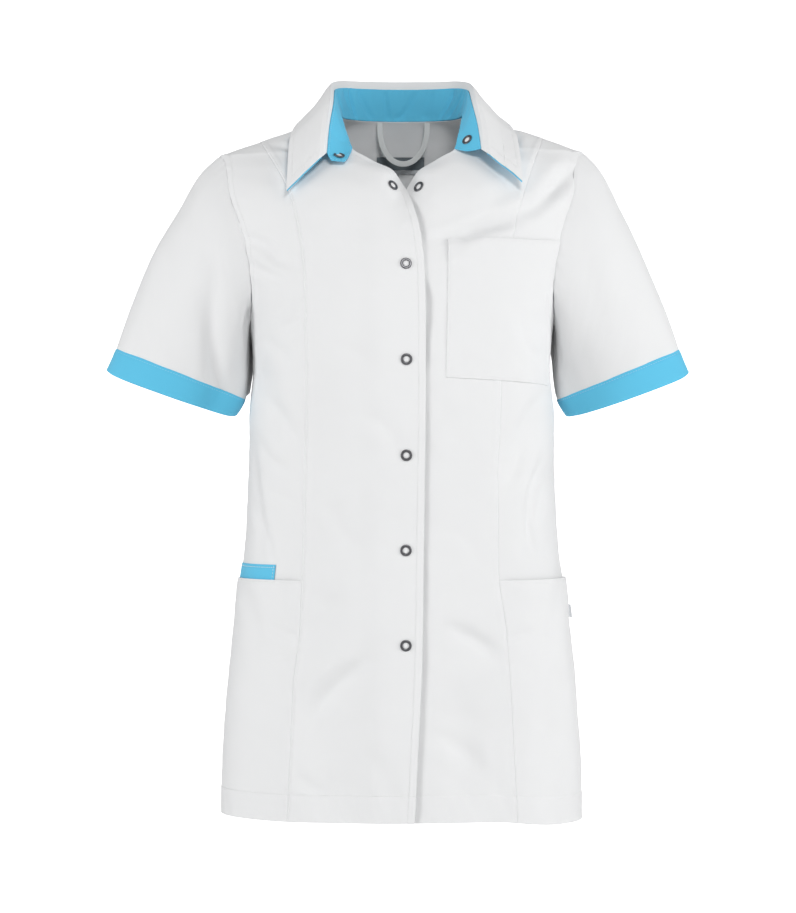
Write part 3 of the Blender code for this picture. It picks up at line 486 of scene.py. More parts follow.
def sideRows(top):
    # from the shoulder seam down the armhole, closer together at its ends, and on to the hem
    return np.concatenate([
        evenRows(top, body["shoulderTip"], rowStep["shoulder"]),
        (armhole["middle"] + armhole["half"] * np.cos(np.linspace(0, math.pi, 81)))[:-1],
        hemRows(body["underarm"]),
    ])


def edgeColumns(*lines):
    # distances from an edge, close together at the edge and at each sewn line, given in millimetres
    near = [0, 0.4, 0.9, 1.6, 2.6, 4.0]
    for line in lines:
        near += [line + off for off in (-1.6, -0.8, -0.35, 0, 0.35, 0.8, 1.6)]
    near = sorted(set(round(value, 2) for value in near if value >= 0))
    kept = [near[0]]
    for value in near[1:]:
        if value - kept[-1] > 0.3:
            kept.append(value)
    return np.array(kept) * mm


def layAcross(height, first, last, nearFirst, nearLast, step):
    # columns at true distances along each ring: set ones beside both edges and even ones between
    samples = first + (last - first) * np.linspace(0, 1, 900)
    steps = np.linalg.norm(np.diff(bodyForm(samples, height), axis=1), axis=-1)
    length = np.pad(np.cumsum(steps, axis=1), ((0, 0), (1, 0)))
    width = length[:, -1:]
    squeeze = np.minimum(1, width / (1.05 * (nearFirst[-1] + nearLast[-1])))
    left, right = squeeze * nearFirst, width - squeeze * nearLast[::-1]
    count = int(math.ceil((width.max() - nearFirst[-1] - nearLast[-1]) / step))
    between = left[:, -1:] + (right[:, :1] - left[:, -1:]) * np.linspace(0, 1, count + 1)[1:-1]
    distance = np.concatenate([left, between, right], axis=1)
    turn = np.stack([np.interp(*row) for row in zip(distance, length, samples)])
    return turn, distance, width


def rimWay(layer):
    # the way out of a layer's edge, in its own surface, at each of its points
    way = np.zeros_like(layer)
    way[0] += unit(layer[0] - layer[1])
    way[-1] += unit(layer[-1] - layer[-2])
    way[:, 0] += unit(layer[:, 0] - layer[:, 1])
    way[:, -1] += unit(layer[:, -1] - layer[:, -2])
    return unit(way)


def addMesh(name, vertices, faces, material, uv=None):
    mesh = bpy.data.meshes.new(name)
    mesh.from_pydata(vertices.tolist(), [], faces)
    mesh.update(calc_edges=True)
    mesh.polygons.foreach_set("use_smooth", np.ones(len(mesh.polygons), bool))
    if uv is not None:
        corners = np.empty(len(mesh.loops), np.int32)
        mesh.loops.foreach_get("vertex_index", corners)
        mesh.uv_layers.new(name="cloth").data.foreach_set("uv", uv[corners].astype(np.float32).ravel())
    mesh.materials.append(material)
    piece = bpy.data.objects.new(name, mesh)
    bpy.context.scene.collection.objects.link(piece)
    return piece


def addPiece(name, vertices, faces, finish, uv=None):
    # a visible piece of the one body, with the slot of its finish
    piece = addMesh(name, vertices, faces, finishes[finish], uv)
    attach(piece, "root")
    return piece


def clothUv(layer):
    # lengths over the cloth in metres, along its rows and down its columns
    across = np.linalg.norm(np.diff(layer, axis=1), axis=-1)
    down = np.linalg.norm(np.diff(layer, axis=0), axis=-1)
    u = np.pad(np.cumsum(across, axis=1), ((0, 0), (1, 0)))
    v = np.pad(np.cumsum(down.max(axis=1)), (1, 0))[:, None]
    return np.stack(np.broadcast_arrays(u, -v), axis=-1)


def crowdEnds(count, ends=(0, 0.25, 0.6, 1.1)):
    # shares from 0 to 1, closer together at both ends
    near = np.array(ends) / count
    return np.concatenate([near, np.linspace(1.8 / count, 1 - 1.8 / count, count - 2), 1 - near[::-1]])


def shareGrid(across, down):
    # the shares across and down a piece, for so many columns and rows
    return np.broadcast_arrays(crowdEnds(across)[None, :], crowdEnds(down)[:, None])


rim = {"steps": 3, "reach": 0.85}


def sewCloth(node, outer, inner, finish, kind="cloth"):
    # two layers of points joined by a rounded rim all round: one closed wall of cloth in a node's place
    outer, inner = settle(outer), settle(inner)
    rows, columns = outer.shape[:2]
    index = np.arange(rows * columns).reshape(rows, columns)
    corners = index[:-1, :-1], index[:-1, 1:], index[1:, 1:], index[1:, :-1]
    quads = np.stack(corners, axis=-1).reshape(-1, 4)
    loop = np.concatenate([index[0, :-1], index[:-1, -1], index[-1, :0:-1], index[:0:-1, 0]])
    outerEdge, innerEdge = outer.reshape(-1, 3)[loop], inner.reshape(-1, 3)[loop]
    middle, half = (outerEdge + innerEdge) / 2, (outerEdge - innerEdge) / 2
    layer = (outer + inner) / 2
    way = rimWay(layer).reshape(-1, 3)[loop] * np.linalg.norm(half, axis=1, keepdims=True) * rim["reach"]
    angles = math.pi * np.arange(1, rim["steps"] + 1) / (rim["steps"] + 1)
    rims = [middle + half * math.cos(angle) + way * math.sin(angle) for angle in angles]
    vertices = np.concatenate([outer.reshape(-1, 3), inner.reshape(-1, 3), *rims])
    size, around = rows * columns, len(loop)
    loops = [loop, *(2 * size + around * k + np.arange(around) for k in range(rim["steps"])), size + loop]
    faces = [quads, size + quads[:, ::-1]]
    for near, far in zip(loops, loops[1:]):
        faces.append(np.stack([np.roll(near, -1), near, far, np.roll(far, -1)], axis=-1))
    faces = np.concatenate(faces)
    i, j = rows // 2, columns // 2
    facing = np.cross(outer[i, j + 1] - outer[i, j], outer[i, j] - outer[i + 1, j])
    if np.dot(facing, outer[i, j] - inner[i, j]) > 0:
        faces = faces[:, ::-1]
    uv = clothUv(outer).reshape(-1, 2)
    uv = np.concatenate([uv, uv, *[uv[loop]] * rim["steps"]])
    piece = addPiece(f"{node}_{kind}", vertices, faces.tolist(), finish, uv)
    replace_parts(piece, node)
    cell = np.cross(layer[1:, 1:] - layer[:-1, :-1], layer[1:, :-1] - layer[:-1, 1:])
    area = float(np.linalg.norm(cell, axis=-1).sum() / 2)
    width = float(np.linalg.norm(np.diff(layer, axis=1), axis=-1).sum(axis=1).max())
    length = float(np.linalg.norm(np.diff(layer, axis=0), axis=-1).sum(axis=0).max())
    cuts.append((piece.name, width, length, area))
    return BVHTree.FromPolygons(outer.reshape(-1, 3).tolist(), quads.tolist())


def sew(line, tree, thread="white", pitch=3.0 * mm):
    # stitches at an even pitch along a line, each settled on the cloth
    line = settle(line)
    run = np.pad(np.cumsum(np.linalg.norm(np.diff(line, axis=0), axis=1)), (1, 0))
    count = int(run[-1] / pitch)
    if count < 1:
        return
    middles = (np.arange(count) + 0.5) * run[-1] / count
    spots, before, past = (
        np.stack([np.interp(middles + shift, run, line[:, axis]) for axis in range(3)], axis=-1)
        for shift in (0, -mm, mm)
    )
    found = [tree.find_nearest(Vector(spot))[:2] for spot in spots]
    places, normals = (np.array(part) for part in zip(*found))
    stitches[thread].append((places, unit(past - before), normals))


def rowLine(grid, distance, at):
    # a line down a panel at a distance from its first edge
    return np.stack([
        np.array([np.interp(*row) for row in zip(np.broadcast_to(at, len(grid)), distance, grid[..., axis])])
        for axis in range(3)
    ], axis=-1)


def levelLine(grid, height, at):
    # a line across a panel at one height
    place = np.interp(-at, -height.ravel(), np.arange(len(grid)))
    low = min(int(place), len(grid) - 2)
    return grid[low] + (grid[low + 1] - grid[low]) * (place - low)


print("stage: body panels")

panel = {
    "frontStitch": 6.8 * mm,
    "princessStitch": 1.9 * mm,
    "armholeStitch": 6.6 * mm,
    "princessRise": 0.45 * mm,
    "unevenness": 0.26 * mm,
    "creaseDepth": 1.75,
    "seamWaves": 0.16 * mm,
    "gape": 0.5 * mm,
    "overlapTop": -112 * mm,
}
hem = {"lift": 0.32 * mm, "stitch": 0.28 * mm, "rope": 0.16 * mm, "extraWall": 0.5 * mm}
# How far apart the rows of points are, from the shoulder to the hem.
rowStep = {
    "shoulder": 1.0 * mm,
    "neck": 1.5 * mm,
    "chest": 2.5 * mm,
    "body": 3.3 * mm,
    "hemStitch": 0.75 * mm,
    "hem": 3 * mm,
}


def clothLift(points):
    # the fine creases and the unevenness that every panel of the body shares
    uneven = wander(points[..., 0] + 0.6 * points[..., 1], points[..., 2], panel["unevenness"])
    return uneven - panel["creaseDepth"] * foldDepth(points, fineCreases, ridge=0.22)


def hemLift(points, height):
    # the turned-up hem is thicker, its stitches bite in, and it ropes a little
    turned = ease(hemLine + 1.0 * mm, hemLine - 1.0 * mm, height)
    along = points[..., 0] + 0.5 * np.abs(points[..., 1]) + 0.4 * (height - hemLine)
    rope = pucker(0 * along, along, hem["rope"], 13 * mm) * ease(hemLine + 9 * mm, hemLine - 6 * mm, height)
    return hem["lift"] * turned + groove(height - hemLine, hem["stitch"]) + rope


def bodyPiece(node, rows, edges, nearFirst, nearLast, step, lift):
    # a panel between two edges, on the body's face, raised by what the body's cloth shares and its own lift
    height = rows[:, None]
    first, last = edges(height)
    turn, distance, width = layAcross(height, first, last, nearFirst, nearLast, step)
    points, normals = bodyFace(turn, height)
    out = clothLift(points) + hemLift(points, height) + lift(points, height, distance, width)
    outer = points + normals * out[..., None]
    thickness = body["wall"] + hem["extraWall"] * ease(hemLine + 2 * mm, hemLine - 2 * mm, height)
    inner = outer - normals * np.broadcast_to(thickness, out.shape)[..., None]
    tree = sewCloth(node, outer, inner, "whiteTwill")
    sew(levelLine(outer, height, hemLine), tree)
    return {"outer": outer, "distance": distance, "width": width, "height": height, "tree": tree}


def overRise(x):
    return overlap["rise"] * ease(overlap["start"], overlap["end"], x)


def frontCentre(side):
    edge = "over" if side == "right" else "under"
    rows = np.concatenate([
        evenRows(body["neckTop"], body["shoulderTip"], rowStep["shoulder"]),
        evenRows(body["shoulderTip"], panel["overlapTop"], rowStep["neck"]),
        evenRows(panel["overlapTop"], body["underarm"], rowStep["chest"]),
        hemRows(body["underarm"]),
    ])

    def edges(height):
        middle = turnAtX(tableCurve(edgeTable, edge, height), height)
        ridge = outerTurn(side, "front", np.maximum(height, body["shoulderTip"]))
        seam = turnAtX(princessX(side, height) - sides[side] * body["seamGap"] / 2, height)
        return middle, np.where(height > body["princessTop"], ridge, seam)

    def lift(points, height, distance, width):
        fromSeam = width - distance
        x, z = points[..., 0], points[..., 2]
        total = seamEdge(fromSeam, panel["princessRise"])
        total = total + groove(fromSeam - panel["princessStitch"], 0.22 * mm)
        total = total + pucker(fromSeam, z, panel["seamWaves"])
        total = total + groove(distance - panel["frontStitch"], 0.1 * mm)
        total = total + pucker(distance - panel["frontStitch"], z, 0.1 * mm, 14 * mm)
        if side == "right":
            gape = panel["gape"] * bell(distance, 14 * mm) * np.sin(z / 0.031) * np.sin(z / 0.019 + 1)
            return total + overRise(x) + gape
        past, reach = x - tableCurve(edgeTable, "over", height), tableCurve(shadeTable, "reach", height)
        hollow = ease(-12 * mm, -4 * mm, past) * (1 - ease(0, reach, past))
        return total - tableCurve(shadeTable, "sink", height) * hollow

    near = edgeColumns(panel["frontStitch"] / mm)
    nearSeam = edgeColumns(panel["princessStitch"] / mm)
    made = bodyPiece(f"front_centre_{side}", rows, edges, near, nearSeam, 2.6 * mm, lift)
    low = int(np.argmax(made["height"].ravel() < -6 * mm))
    start = int(np.argmax(made["height"].ravel() < body["princessTop"] - mm))
    grid, distance, tree = made["outer"], made["distance"], made["tree"]
    sew(rowLine(grid[low:], distance[low:], panel["frontStitch"]), tree)
    fromSeam = (made["width"] - distance)[:, ::-1]
    sew(rowLine(grid[start:, ::-1], fromSeam[start:], panel["princessStitch"]), tree)
    return tree


def armholeLift(points, height, side, face):
    # the allowance under the armhole's edge, the edge itself and the row of stitches inside it
    away = surfaceDistance(points, armholeLevel(points, side, face))
    away = np.where(height > body["underarm"] - 8 * mm, np.abs(away), 1)
    along = points[..., 2] + 0.4 * points[..., 1]
    total = seamEdge(away, 0.35 * mm, 8 * mm, 0.1 * mm) + groove(away - panel["armholeStitch"], 0.14 * mm)
    return total + pucker(away, along, 0.14 * mm, 10 * mm)


def armholeLine(side, face):
    # the row of stitches: the armhole's edge moved in over the body
    angle = np.linspace(0.02, math.pi - 0.05, 160) * (1 if face == "front" else -1)
    edge, _, beyond = armholeFrame(side, angle)
    return edge - beyond * panel["armholeStitch"]


def sideSeamLift(points, height, away):
    # the allowance and the puckers beside a side seam, which starts under the armhole
    away = np.where(height < body["underarm"], away, 1)
    return seamEdge(away, 0.3 * mm) + pucker(away, points[..., 2], 0.12 * mm)


def frontSide(side):
    def edges(height):
        seam = turnAtX(princessX(side, height) + sides[side] * body["seamGap"] / 2, height)
        return seam, outerTurn(side, "front", height)

    def lift(points, height, distance, width):
        total = seamEdge(distance, 0, roll=0.55 * mm)
        total = total + pucker(distance, points[..., 2] + 4 * mm, panel["seamWaves"])
        total = total + sideSeamLift(points, height, width - distance)
        return total + armholeLift(points, height, side, "front")

    rows, near = sideRows(body["princessTop"] - 0.3 * mm), edgeColumns(panel["armholeStitch"] / mm)
    made = bodyPiece(f"front_side_{side}", rows, edges, edgeColumns(), near, 2.9 * mm, lift)
    sew(armholeLine(side, "front"), made["tree"])


def backPanel():
    def edges(height):
        right, left = (outerTurn(side, "back", height) for side in sides)
        return left, right + 2 * math.pi

    def lift(points, height, distance, width):
        total = sideSeamLift(points, height, np.minimum(distance, width - distance))
        left, right = (armholeLift(points, height, side, "back") for side in ("left", "right"))
        return total + np.where(points[..., 0] > 0, left, right)

    near = edgeColumns(panel["armholeStitch"] / mm)
    made = bodyPiece("back", sideRows(body["backTop"]), edges, near, near, 3.55 * mm, lift)
    for side in sides:
        sew(armholeLine(side, "back"), made["tree"])


print("stage: sleeves")

# The sleeves at shares of the way from the shoulder to the cuff: how far out each crest is and how high, the
# underarm line and half the depth.
sleeveTable = (
    ("share", "right", "left", "crestZ", "underX", "underZ", "depth"),
    (0, 191, 191, -43, 158.5, -222, 58),
    (0.12, 212, 210.5, -63.5, 159.6, -235, 59),
    (0.3, 233.5, 231.5, -100, 160.3, -253, 58),
    (0.55, 262.5, 255, -150, 161, -271, 54),
    (0.8, 284.5, 278, -205, 162, -286, 49),
    (1, 299, 292.5, -245, 163.5, -298, 46),
)
sleeve = {
    "roundness": 2.15,
    "cuffLength": 21.5 * mm,
    "cuffWall": 1.4 * mm,
    "cuffSlant": (0.445, 0, -0.895),
    "cuffFall": {"right": 6 * mm, "left": 7.5 * mm},
    "cuffCorner": 3.5 * mm,
    "tuck": {"right": 8 * mm, "left": 3 * mm},
    "tuckPlace": 2.72,
    "tuckWidth": 0.26,
    "slit": 0.0012,
    "unevenness": 0.22 * mm,
    "length": 210 * mm,
    "girth": 60 * mm,  # round the sleeve for each unit of the turn, for waves and stitches alone
}
# The soft folds that run down each sleeve: where each lies round the cuff, its lean up the sleeve, its half
# width, its depth and the shares of the sleeve between which it comes up and dies away.
sleeveFolds = {
    "right": (
        (2.26, 1.0, 0.2, 6.5, 0.15, 0.6, 2, 3),
        (0.7, 0, 0.36, 1.2, 0.15, 0.75, 2, 3),
        (2.52, 0, 0.17, 6.0, 0.0, 0.08, 0.16, 0.36),
        (-0.8, 0, 0.36, 3.0, 0.15, 0.75, 2, 3),
        (-1.9, 0, 0.4, 3.0, 0.15, 0.75, 2, 3),
    ),
    "left": (
        (0.9, 0, 0.5, 1.2, 0.15, 0.75, 2, 3),
        (2.45, 0.3, 0.3, 0.9, 0.15, 0.75, 2, 3),
        (-0.75, 0, 0.36, 3.0, 0.15, 0.75, 2, 3),
        (-1.8, 0, 0.42, 3.0, 0.15, 0.75, 2, 3),
    ),
}
# Finer ones, each between two shares of the length, with a lean round the sleeve.
sleeveCreases = (
    ("angle", "from", "to", "width", "sink", "lean"),
    (0.95, 0.25, 1.0, 0.14, 0.35, 0.25),
    (1.55, 0.10, 0.75, 0.13, 0.35, 0.35),
    (2.6, 0.20, 0.95, 0.14, 0.8, -0.3),
    (0.25, 0.45, 1.1, 0.14, 0.35, 0.2),
    (2.1, 0.55, 1.1, 0.10, 0.4, -0.2),
    (-0.4, 0.30, 1.0, 0.12, 0.8, -0.25),
    (-1.3, 0.12, 0.8, 0.10, 1.1, -0.3),
    (-2.3, 0.30, 1.0, 0.12, 1.2, 0.3),
    (-2.8, 0.10, 0.6, 0.09, 0.8, -0.2),
    (2.95, 0.05, 0.55, 0.08, 0.9, 0.2),
)


def armholeEdge(side, angle):
    # 0 at the shoulder tip, a quarter turn at the front of the armhole
    height = armhole["middle"] + armhole["half"] * np.cos(angle)
    fronts, backs = (outerTurn(side, face, height) for face in ("front", "back"))
    return bodyFace(np.where(np.sin(angle) >= 0, fronts, backs), height)


def armholeFrame(side, angle):
    # the edge, the way out of the body's face there, and the way on past the panel's edge
    edge, face = armholeEdge(side, angle)
    ahead = armholeEdge(side, angle + 0.05)[0] - armholeEdge(side, angle - 0.05)[0]
    return edge, face, unit(np.cross(face, ahead)) * sides[side]


def wrapped(angle):
    # the same direction as an angle between -pi and pi
    return np.angle(np.exp(1j * angle))


def sleeveRing(side, share, angle):
    # rounds of x = middle + half * cos^(2/r), y = depth * sin^(2/r), from the crest line to the underarm line
    columns = dict(zip(sleeveTable[0], zip(*sleeveTable[1:])))
    crestX, crestZ, underX, underZ, depth = (
        smoothCurve(columns["share"], columns[name], share) * mm
        for name in (side, "crestZ", "underX", "underZ", "depth")
    )
    up, ahead = (
        np.sign(way) * np.abs(way) ** (2 / sleeve["roundness"]) for way in (np.cos(angle), np.sin(angle))
    )
    x = (crestX + underX) / 2 + (crestX - underX) / 2 * up
    z = (crestZ + underZ) / 2 + (crestZ - underZ) / 2 * up
    return np.stack(np.broadcast_arrays(sides[side] * x, -depth * ahead, z), axis=-1)


def sleeveSink(side, share, angle):
    # each fold is a bell round the sleeve that comes up and dies away down it
    total = 0
    for place, lean, width, sink, start, full, fade, end in sleeveFolds[side]:
        off = wrapped(angle - place - lean * (share - 1)) / width
        total = total + sink * mm * bell(off, 1) * ease(start, full, share) * (1 - ease(fade, end, share))
    return total


def sleeveSkin(side, share, angle):
    # the sleeve's rounds, drawn in to the armhole's edge at the shoulder end, with its soft folds
    edge, face, beyond = armholeFrame(side, angle)
    under = ((1 - np.cos(angle)) / 2)[..., None]
    start = edge + body["seamGap"] * ((0.3 + 0.7 * under) * face + (1 - 0.5 * under) * beyond)
    drawn = start - sleeveRing(side, 0 * share, angle)
    ring = sleeveRing(side, share, angle)
    inward = unit(sleeveRing(side, share, angle + math.pi) - ring)
    behind = bell(wrapped(angle + sleeve["tuckPlace"]), sleeve["tuckWidth"])
    tuck = sleeve["tuck"][side] * behind * ease(0.06, 0.3, share) * (1 - ease(0.9, 1.0, share))
    ring = ring - np.array([sides[side], 0, 0]) * tuck[..., None]
    return ring + drawn * ((1 - share) ** 2.2)[..., None] + inward * sleeveSink(side, share, angle)[..., None]


def tubeNormal(surface, side, share, angle):
    around = surface(share, angle + 0.03) - surface(share, angle - 0.03)
    down = surface(np.minimum(share + 0.01, 1), angle) - surface(np.maximum(share - 0.01, 0), angle)
    return unit(np.cross(around, down)) * sides[side]


def roundAngles(count):
    # round the tube from the underarm seam back to it, closer together beside the seam
    near = np.array([0, 0.008, 0.02, 0.04, 0.07])
    between = np.linspace(0.11, 2 * math.pi - 0.11 - 2 * sleeve["slit"], count)
    whole = 2 * math.pi - 2 * sleeve["slit"]
    return math.pi + sleeve["slit"] + np.concatenate([near, between, whole - near[::-1]])


def makeSleeve(side):
    def surface(share, angle):
        return sleeveSkin(side, share, angle)

    first, last = [0, 0.002, 0.005, 0.01, 0.017, 0.026], [0.985, 0.993, 1]
    share = np.concatenate([first, np.linspace(0.038, 0.975, 62), last])[:, None]
    angle = roundAngles(124)[None, :]
    points, normals = surface(share, angle), tubeNormal(surface, side, share, angle)
    along = np.linalg.norm(points - points[:1], axis=-1)
    around = wrapped(angle) * sleeve["girth"]
    out = wander(around, along, sleeve["unevenness"]) - 0.8 * mm * bell(along, 2.4 * mm)
    out = out + pucker(along, around, 0.3 * mm, 12 * mm, 14 * mm)
    fromEnd = (1 - share) * sleeve["length"]
    out = out + pucker(fromEnd, around, 0.15 * mm, 9 * mm) - 0.6 * mm * bell(fromEnd, 1.5 * mm)
    for row in sleeveCreases[1:]:
        crease = dict(zip(sleeveCreases[0], row))
        place = crease["angle"] + crease["lean"] * (share - 0.5)
        off = wrapped(angle - place) / crease["width"]
        reach = ease(crease["from"] - 0.1, crease["from"] + 0.25, share)
        reach = reach * (1 - ease(crease["to"] - 0.2, crease["to"] + 0.1, share))
        shape = bell(off, 1) - 0.25 * bell(off - 1.9, 1) - 0.25 * bell(off + 1.9, 1)
        out = out - crease["sink"] * mm * reach * shape
    outer = points + normals * out[..., None]
    inner = outer - normals * body["wall"]
    sewCloth(f"sleeve_{side}", outer, inner, "whiteTwill")


def makeCuff(side):
    slant = unit(np.array(sleeve["cuffSlant"])) * np.array([sides[side], 1, 1])

    def surface(share, angle):
        end = sleeveSkin(side, np.ones_like(share), angle)
        fall = sleeve["cuffFall"][side] * share * (1 - ((1 - np.cos(angle)) / 2) ** 2)
        fall = fall - sleeve["cuffCorner"] * share**2 * np.abs(np.cos(angle)) ** 14
        band = end + slant * (body["seamGap"] + sleeve["cuffLength"] * share)[..., None]
        return band - np.array([0, 0, 1]) * fall[..., None]

    share = np.array([0, 2, 5, 9, 14, 20, 30, 42, 55, 68, 78, 85, 91, 96, 100])[:, None] / 100
    angle = roundAngles(132)[None, :]
    points, normals = surface(share, angle), tubeNormal(surface, side, share, angle)
    depth = share * sleeve["cuffLength"]
    around = wrapped(angle) * sleeve["girth"]
    out = 0.35 * mm + seamEdge(depth, 0, roll=0.6 * mm) + groove(depth - 1.9 * mm, 0.35 * mm)
    out = out + groove(sleeve["cuffLength"] - depth - 3.2 * mm, 0.15 * mm)
    out = out + wander(around, depth, 0.16 * mm) + pucker(depth, around, 0.14 * mm, 9 * mm)
    outer = points + normals * out[..., None]
    inner = outer - normals * sleeve["cuffWall"]
    tree = sewCloth(f"cuff_{side}", outer, inner, "blueTwill")
    sew(outer[3], tree, "blue")


print("stage: collar")

collarTable = (
    ("station", "standTop", "crest", "turn", "middle", "edge"),
    (0.0, (0, 62.5, 34), (0, 67.5, 43.5), (0, 72.5, 38), (0, 76, 12), (0, 79, -14)),
    (0.3, (52, 49, 34), (57, 53, 43), (62, 56.5, 37), (70, 62, 12), (77, 66, -13)),
    (0.6, (70, 3, 27), (74.5, 3, 33), (80, 3, 27), (94.5, 2, 7.5), (109.5, 0, -10.5)),
    (0.8, (72, -35, 8.5), (75.5, -38, 14), (81, -40, 8.5), (99, -42, -10), (117, -47, -28)),
    (0.9, (76.5, -56, -18), (79.5, -59.5, -15), (85, -63, -20), (102, -67, -38), (119.5, -71.5, -57)),
    (1.0, (79, -74, -45), (82, -77.5, -48), (87, -81, -52), (103, -85.5, -67), (121, -88, -85)),
)
collar = {
    "falls": (0, 0.14, 0.25, 0.62, 1),
    "start": 0.012,
    "shoulder": 0.6,
    "leafWall": 0.9 * mm,
    "underStart": 0.2,
    "underGap": 0.25 * mm,
    "underTrim": 0.03,
    "standWall": 1.2 * mm,
    "leftPointRise": 8 * mm,
    "leftEndRise": 4 * mm,
    "lift": 4 * mm,
    "peek": 0.9 * mm,
    "leftRise": (0.72, 1.0),
    "tabSeam": (58, -80.5, -56),
    "tabTop": (78, -77.5, -54),
    "tabStation": 1.13,
    "tabRound": 0.6,
    "bow": 2.5 * mm,
    "stitch": 5.6 * mm,
    "standStitch": 1.8 * mm,
    "standHeight": 34 * mm,
    "leafFall": 62 * mm,
    "leafRun": 175 * mm,
    "run": 190 * mm,  # along the collar for each unit of the station, for waves and stitches alone
}
# Soft drags across the inside of the stand: station, lean, half width and depth.
standDrags = (
    (0.04, 0.12, 0.018, 1.8),
    (0.15, 0.05, 0.030, 1.1),
    (0.31, 0.14, 0.020, 2.1),
    (0.41, 0.20, 0.016, 2.2),
    (0.50, 0.10, 0.022, 1.7),
    (-0.07, -0.04, 0.016, 1.7),
    (-0.20, -0.10, 0.022, 1.5),
    (-0.31, -0.05, 0.013, 2.5),
    (-0.36, -0.12, 0.024, 1.3),
    (-0.50, -0.10, 0.022, 1.7),
    (-0.62, 0.06, 0.022, 1.4),
    (0.63, -0.06, 0.022, 1.3),
    (-0.78, 0.05, 0.030, 0.8),
    (0.80, -0.05, 0.030, 0.8),
    (-0.93, 0.03, 0.020, 0.7),
    (-1.04, -0.02, 0.014, 0.6),
)


def neckSeam(station):
    # from the middle of the back (0) over the shoulder seams (0.6) to the front ends (1)
    way = np.abs(station)
    roundBack = np.clip(way / collar["shoulder"], 0, 1)
    downFront = np.clip((way - collar["shoulder"]) / (1 - collar["shoulder"]), 0, 1)
    height = body["neckEnd"] * downFront**1.25
    x = tableCurve(edgeTable, "under", height)
    turn = np.where(way > collar["shoulder"], turnAtX(x, height), math.pi - roundBack * math.pi / 2)
    points, normals = bodyFace(np.sign(station) * turn, height)
    return points + normals * (0.3 * mm + 0.9 * mm * bell(way - collar["shoulder"], 0.08))[..., None]


def collarLine(name, station):
    at = collarTable[0].index(name)
    rows = [(side * row[0], side * row[at][0], *row[at][1:]) for side in (-1, 1) for row in collarTable[1:]]
    rows = np.array(sorted(set(rows)))
    return np.stack([smoothCurve(rows[:, 0], rows[:, axis] * mm, station) for axis in (1, 2, 3)], axis=-1)


def leafSkin(station, fall):
    # the leaf's upper face: a smooth blend down the fall between the collar's five lines
    points = 0
    for i, name in enumerate(collarTable[0][1:]):
        share = [1.0 if k == i else 0.0 for k in range(len(collar["falls"]))]
        points = points + collarLine(name, station) * smoothCurve(collar["falls"], share, fall)[..., None]
    rise = collar["leftEndRise"] + (collar["leftPointRise"] - collar["leftEndRise"]) * fall
    points[..., 2] += rise * ease(*collar["leftRise"], station)
    points[..., 1] -= collar["lift"] * fall * ease(0.78, 1.0, np.abs(station))
    return points


def standSkin(station, rise):
    # straight lines from the neck seam to the stand's top, with the rounded tab past the right front end
    onNeck = np.clip(station, -1, 1)
    seam, top = neckSeam(onNeck), collarLine("standTop", onNeck)
    top[..., 2] += collar["leftEndRise"] * ease(*collar["leftRise"], onNeck)
    past = np.clip((np.abs(station) - 1) / (collar["tabStation"] - 1), 0, 1)
    flip = np.sign(station)[..., None] * np.array([1, 0, 0]) + np.array([0, 1, 1])
    seam = seam + (np.array(collar["tabSeam"]) * mm * flip - seam) * past[..., None]
    top = top + (np.array(collar["tabTop"]) * mm * flip - top) * past[..., None]
    rise = 0.5 + (rise - 0.5) * np.sqrt(1 - collar["tabRound"] * past**2)
    points = seam + (top - seam) * rise[..., None]
    points[..., 2] -= collar["bow"] * np.sin(math.pi * rise) * (1 - past)
    return points


def sheetNormal(surface, first, second):
    across = surface(first + 0.01, second) - surface(first - 0.01, second)
    lower, upper = np.clip(second - 0.01, 0, 1), np.clip(second + 0.01, 0, 1)
    return unit(np.cross(across, surface(first, upper) - surface(first, lower)))


def makeStand():
    across, rise = shareGrid(250, 22)
    station = -collar["tabStation"] + (collar["tabStation"] + 1) * across
    towards = sheetNormal(standSkin, station, rise)
    base = standSkin(station, rise)
    drag = 0
    for place, lean, width, depth in standDrags:
        drag = drag + depth * mm * bell(station - place - lean * (rise - 0.5), width)
    edges = ease(0, 0.25, rise) * ease(1.0, 0.8, rise)
    length = station * collar["run"]
    out = (wander(length, rise * 35 * mm, 0.3 * mm) - drag) * (0.25 + 0.75 * edges)
    for share in (rise, 1 - rise):
        line = share * collar["standHeight"] - collar["standStitch"]
        out = out + groove(line, 0.25 * mm) * (np.abs(station) > 0.7)
        out = out + pucker(line, length, 0.12 * mm, 8 * mm)
    fromEnd = (station + collar["tabStation"]) * collar["run"]
    wrinkles = 0.35 * mm * np.sin(rise * 26 + 3 * np.sin(rise * 7)) * bell(fromEnd - 14 * mm, 12 * mm)
    out = out + wrinkles * edges + groove(fromEnd - 1.9 * mm, 0.25 * mm)
    face = base + towards * (collar["standWall"] + out)[..., None]
    behind = base + towards * (0.1 * mm + np.minimum(out, 0))[..., None]
    tree = sewCloth("collar_stand", face, behind, "blueTwill")
    inset = collar["standStitch"] / collar["standHeight"]
    ring = np.linspace(-collar["tabStation"] + 0.012, -0.68, 120)
    for at in (inset, 1 - inset):
        sew(standSkin(ring, np.full_like(ring, at)), tree, "blue", 2.8 * mm)
    end = np.linspace(inset, 1 - inset, 40)
    sew(standSkin(np.full_like(end, -collar["tabStation"] + 0.01), end), tree, "blue", 2.8 * mm)
    return tree


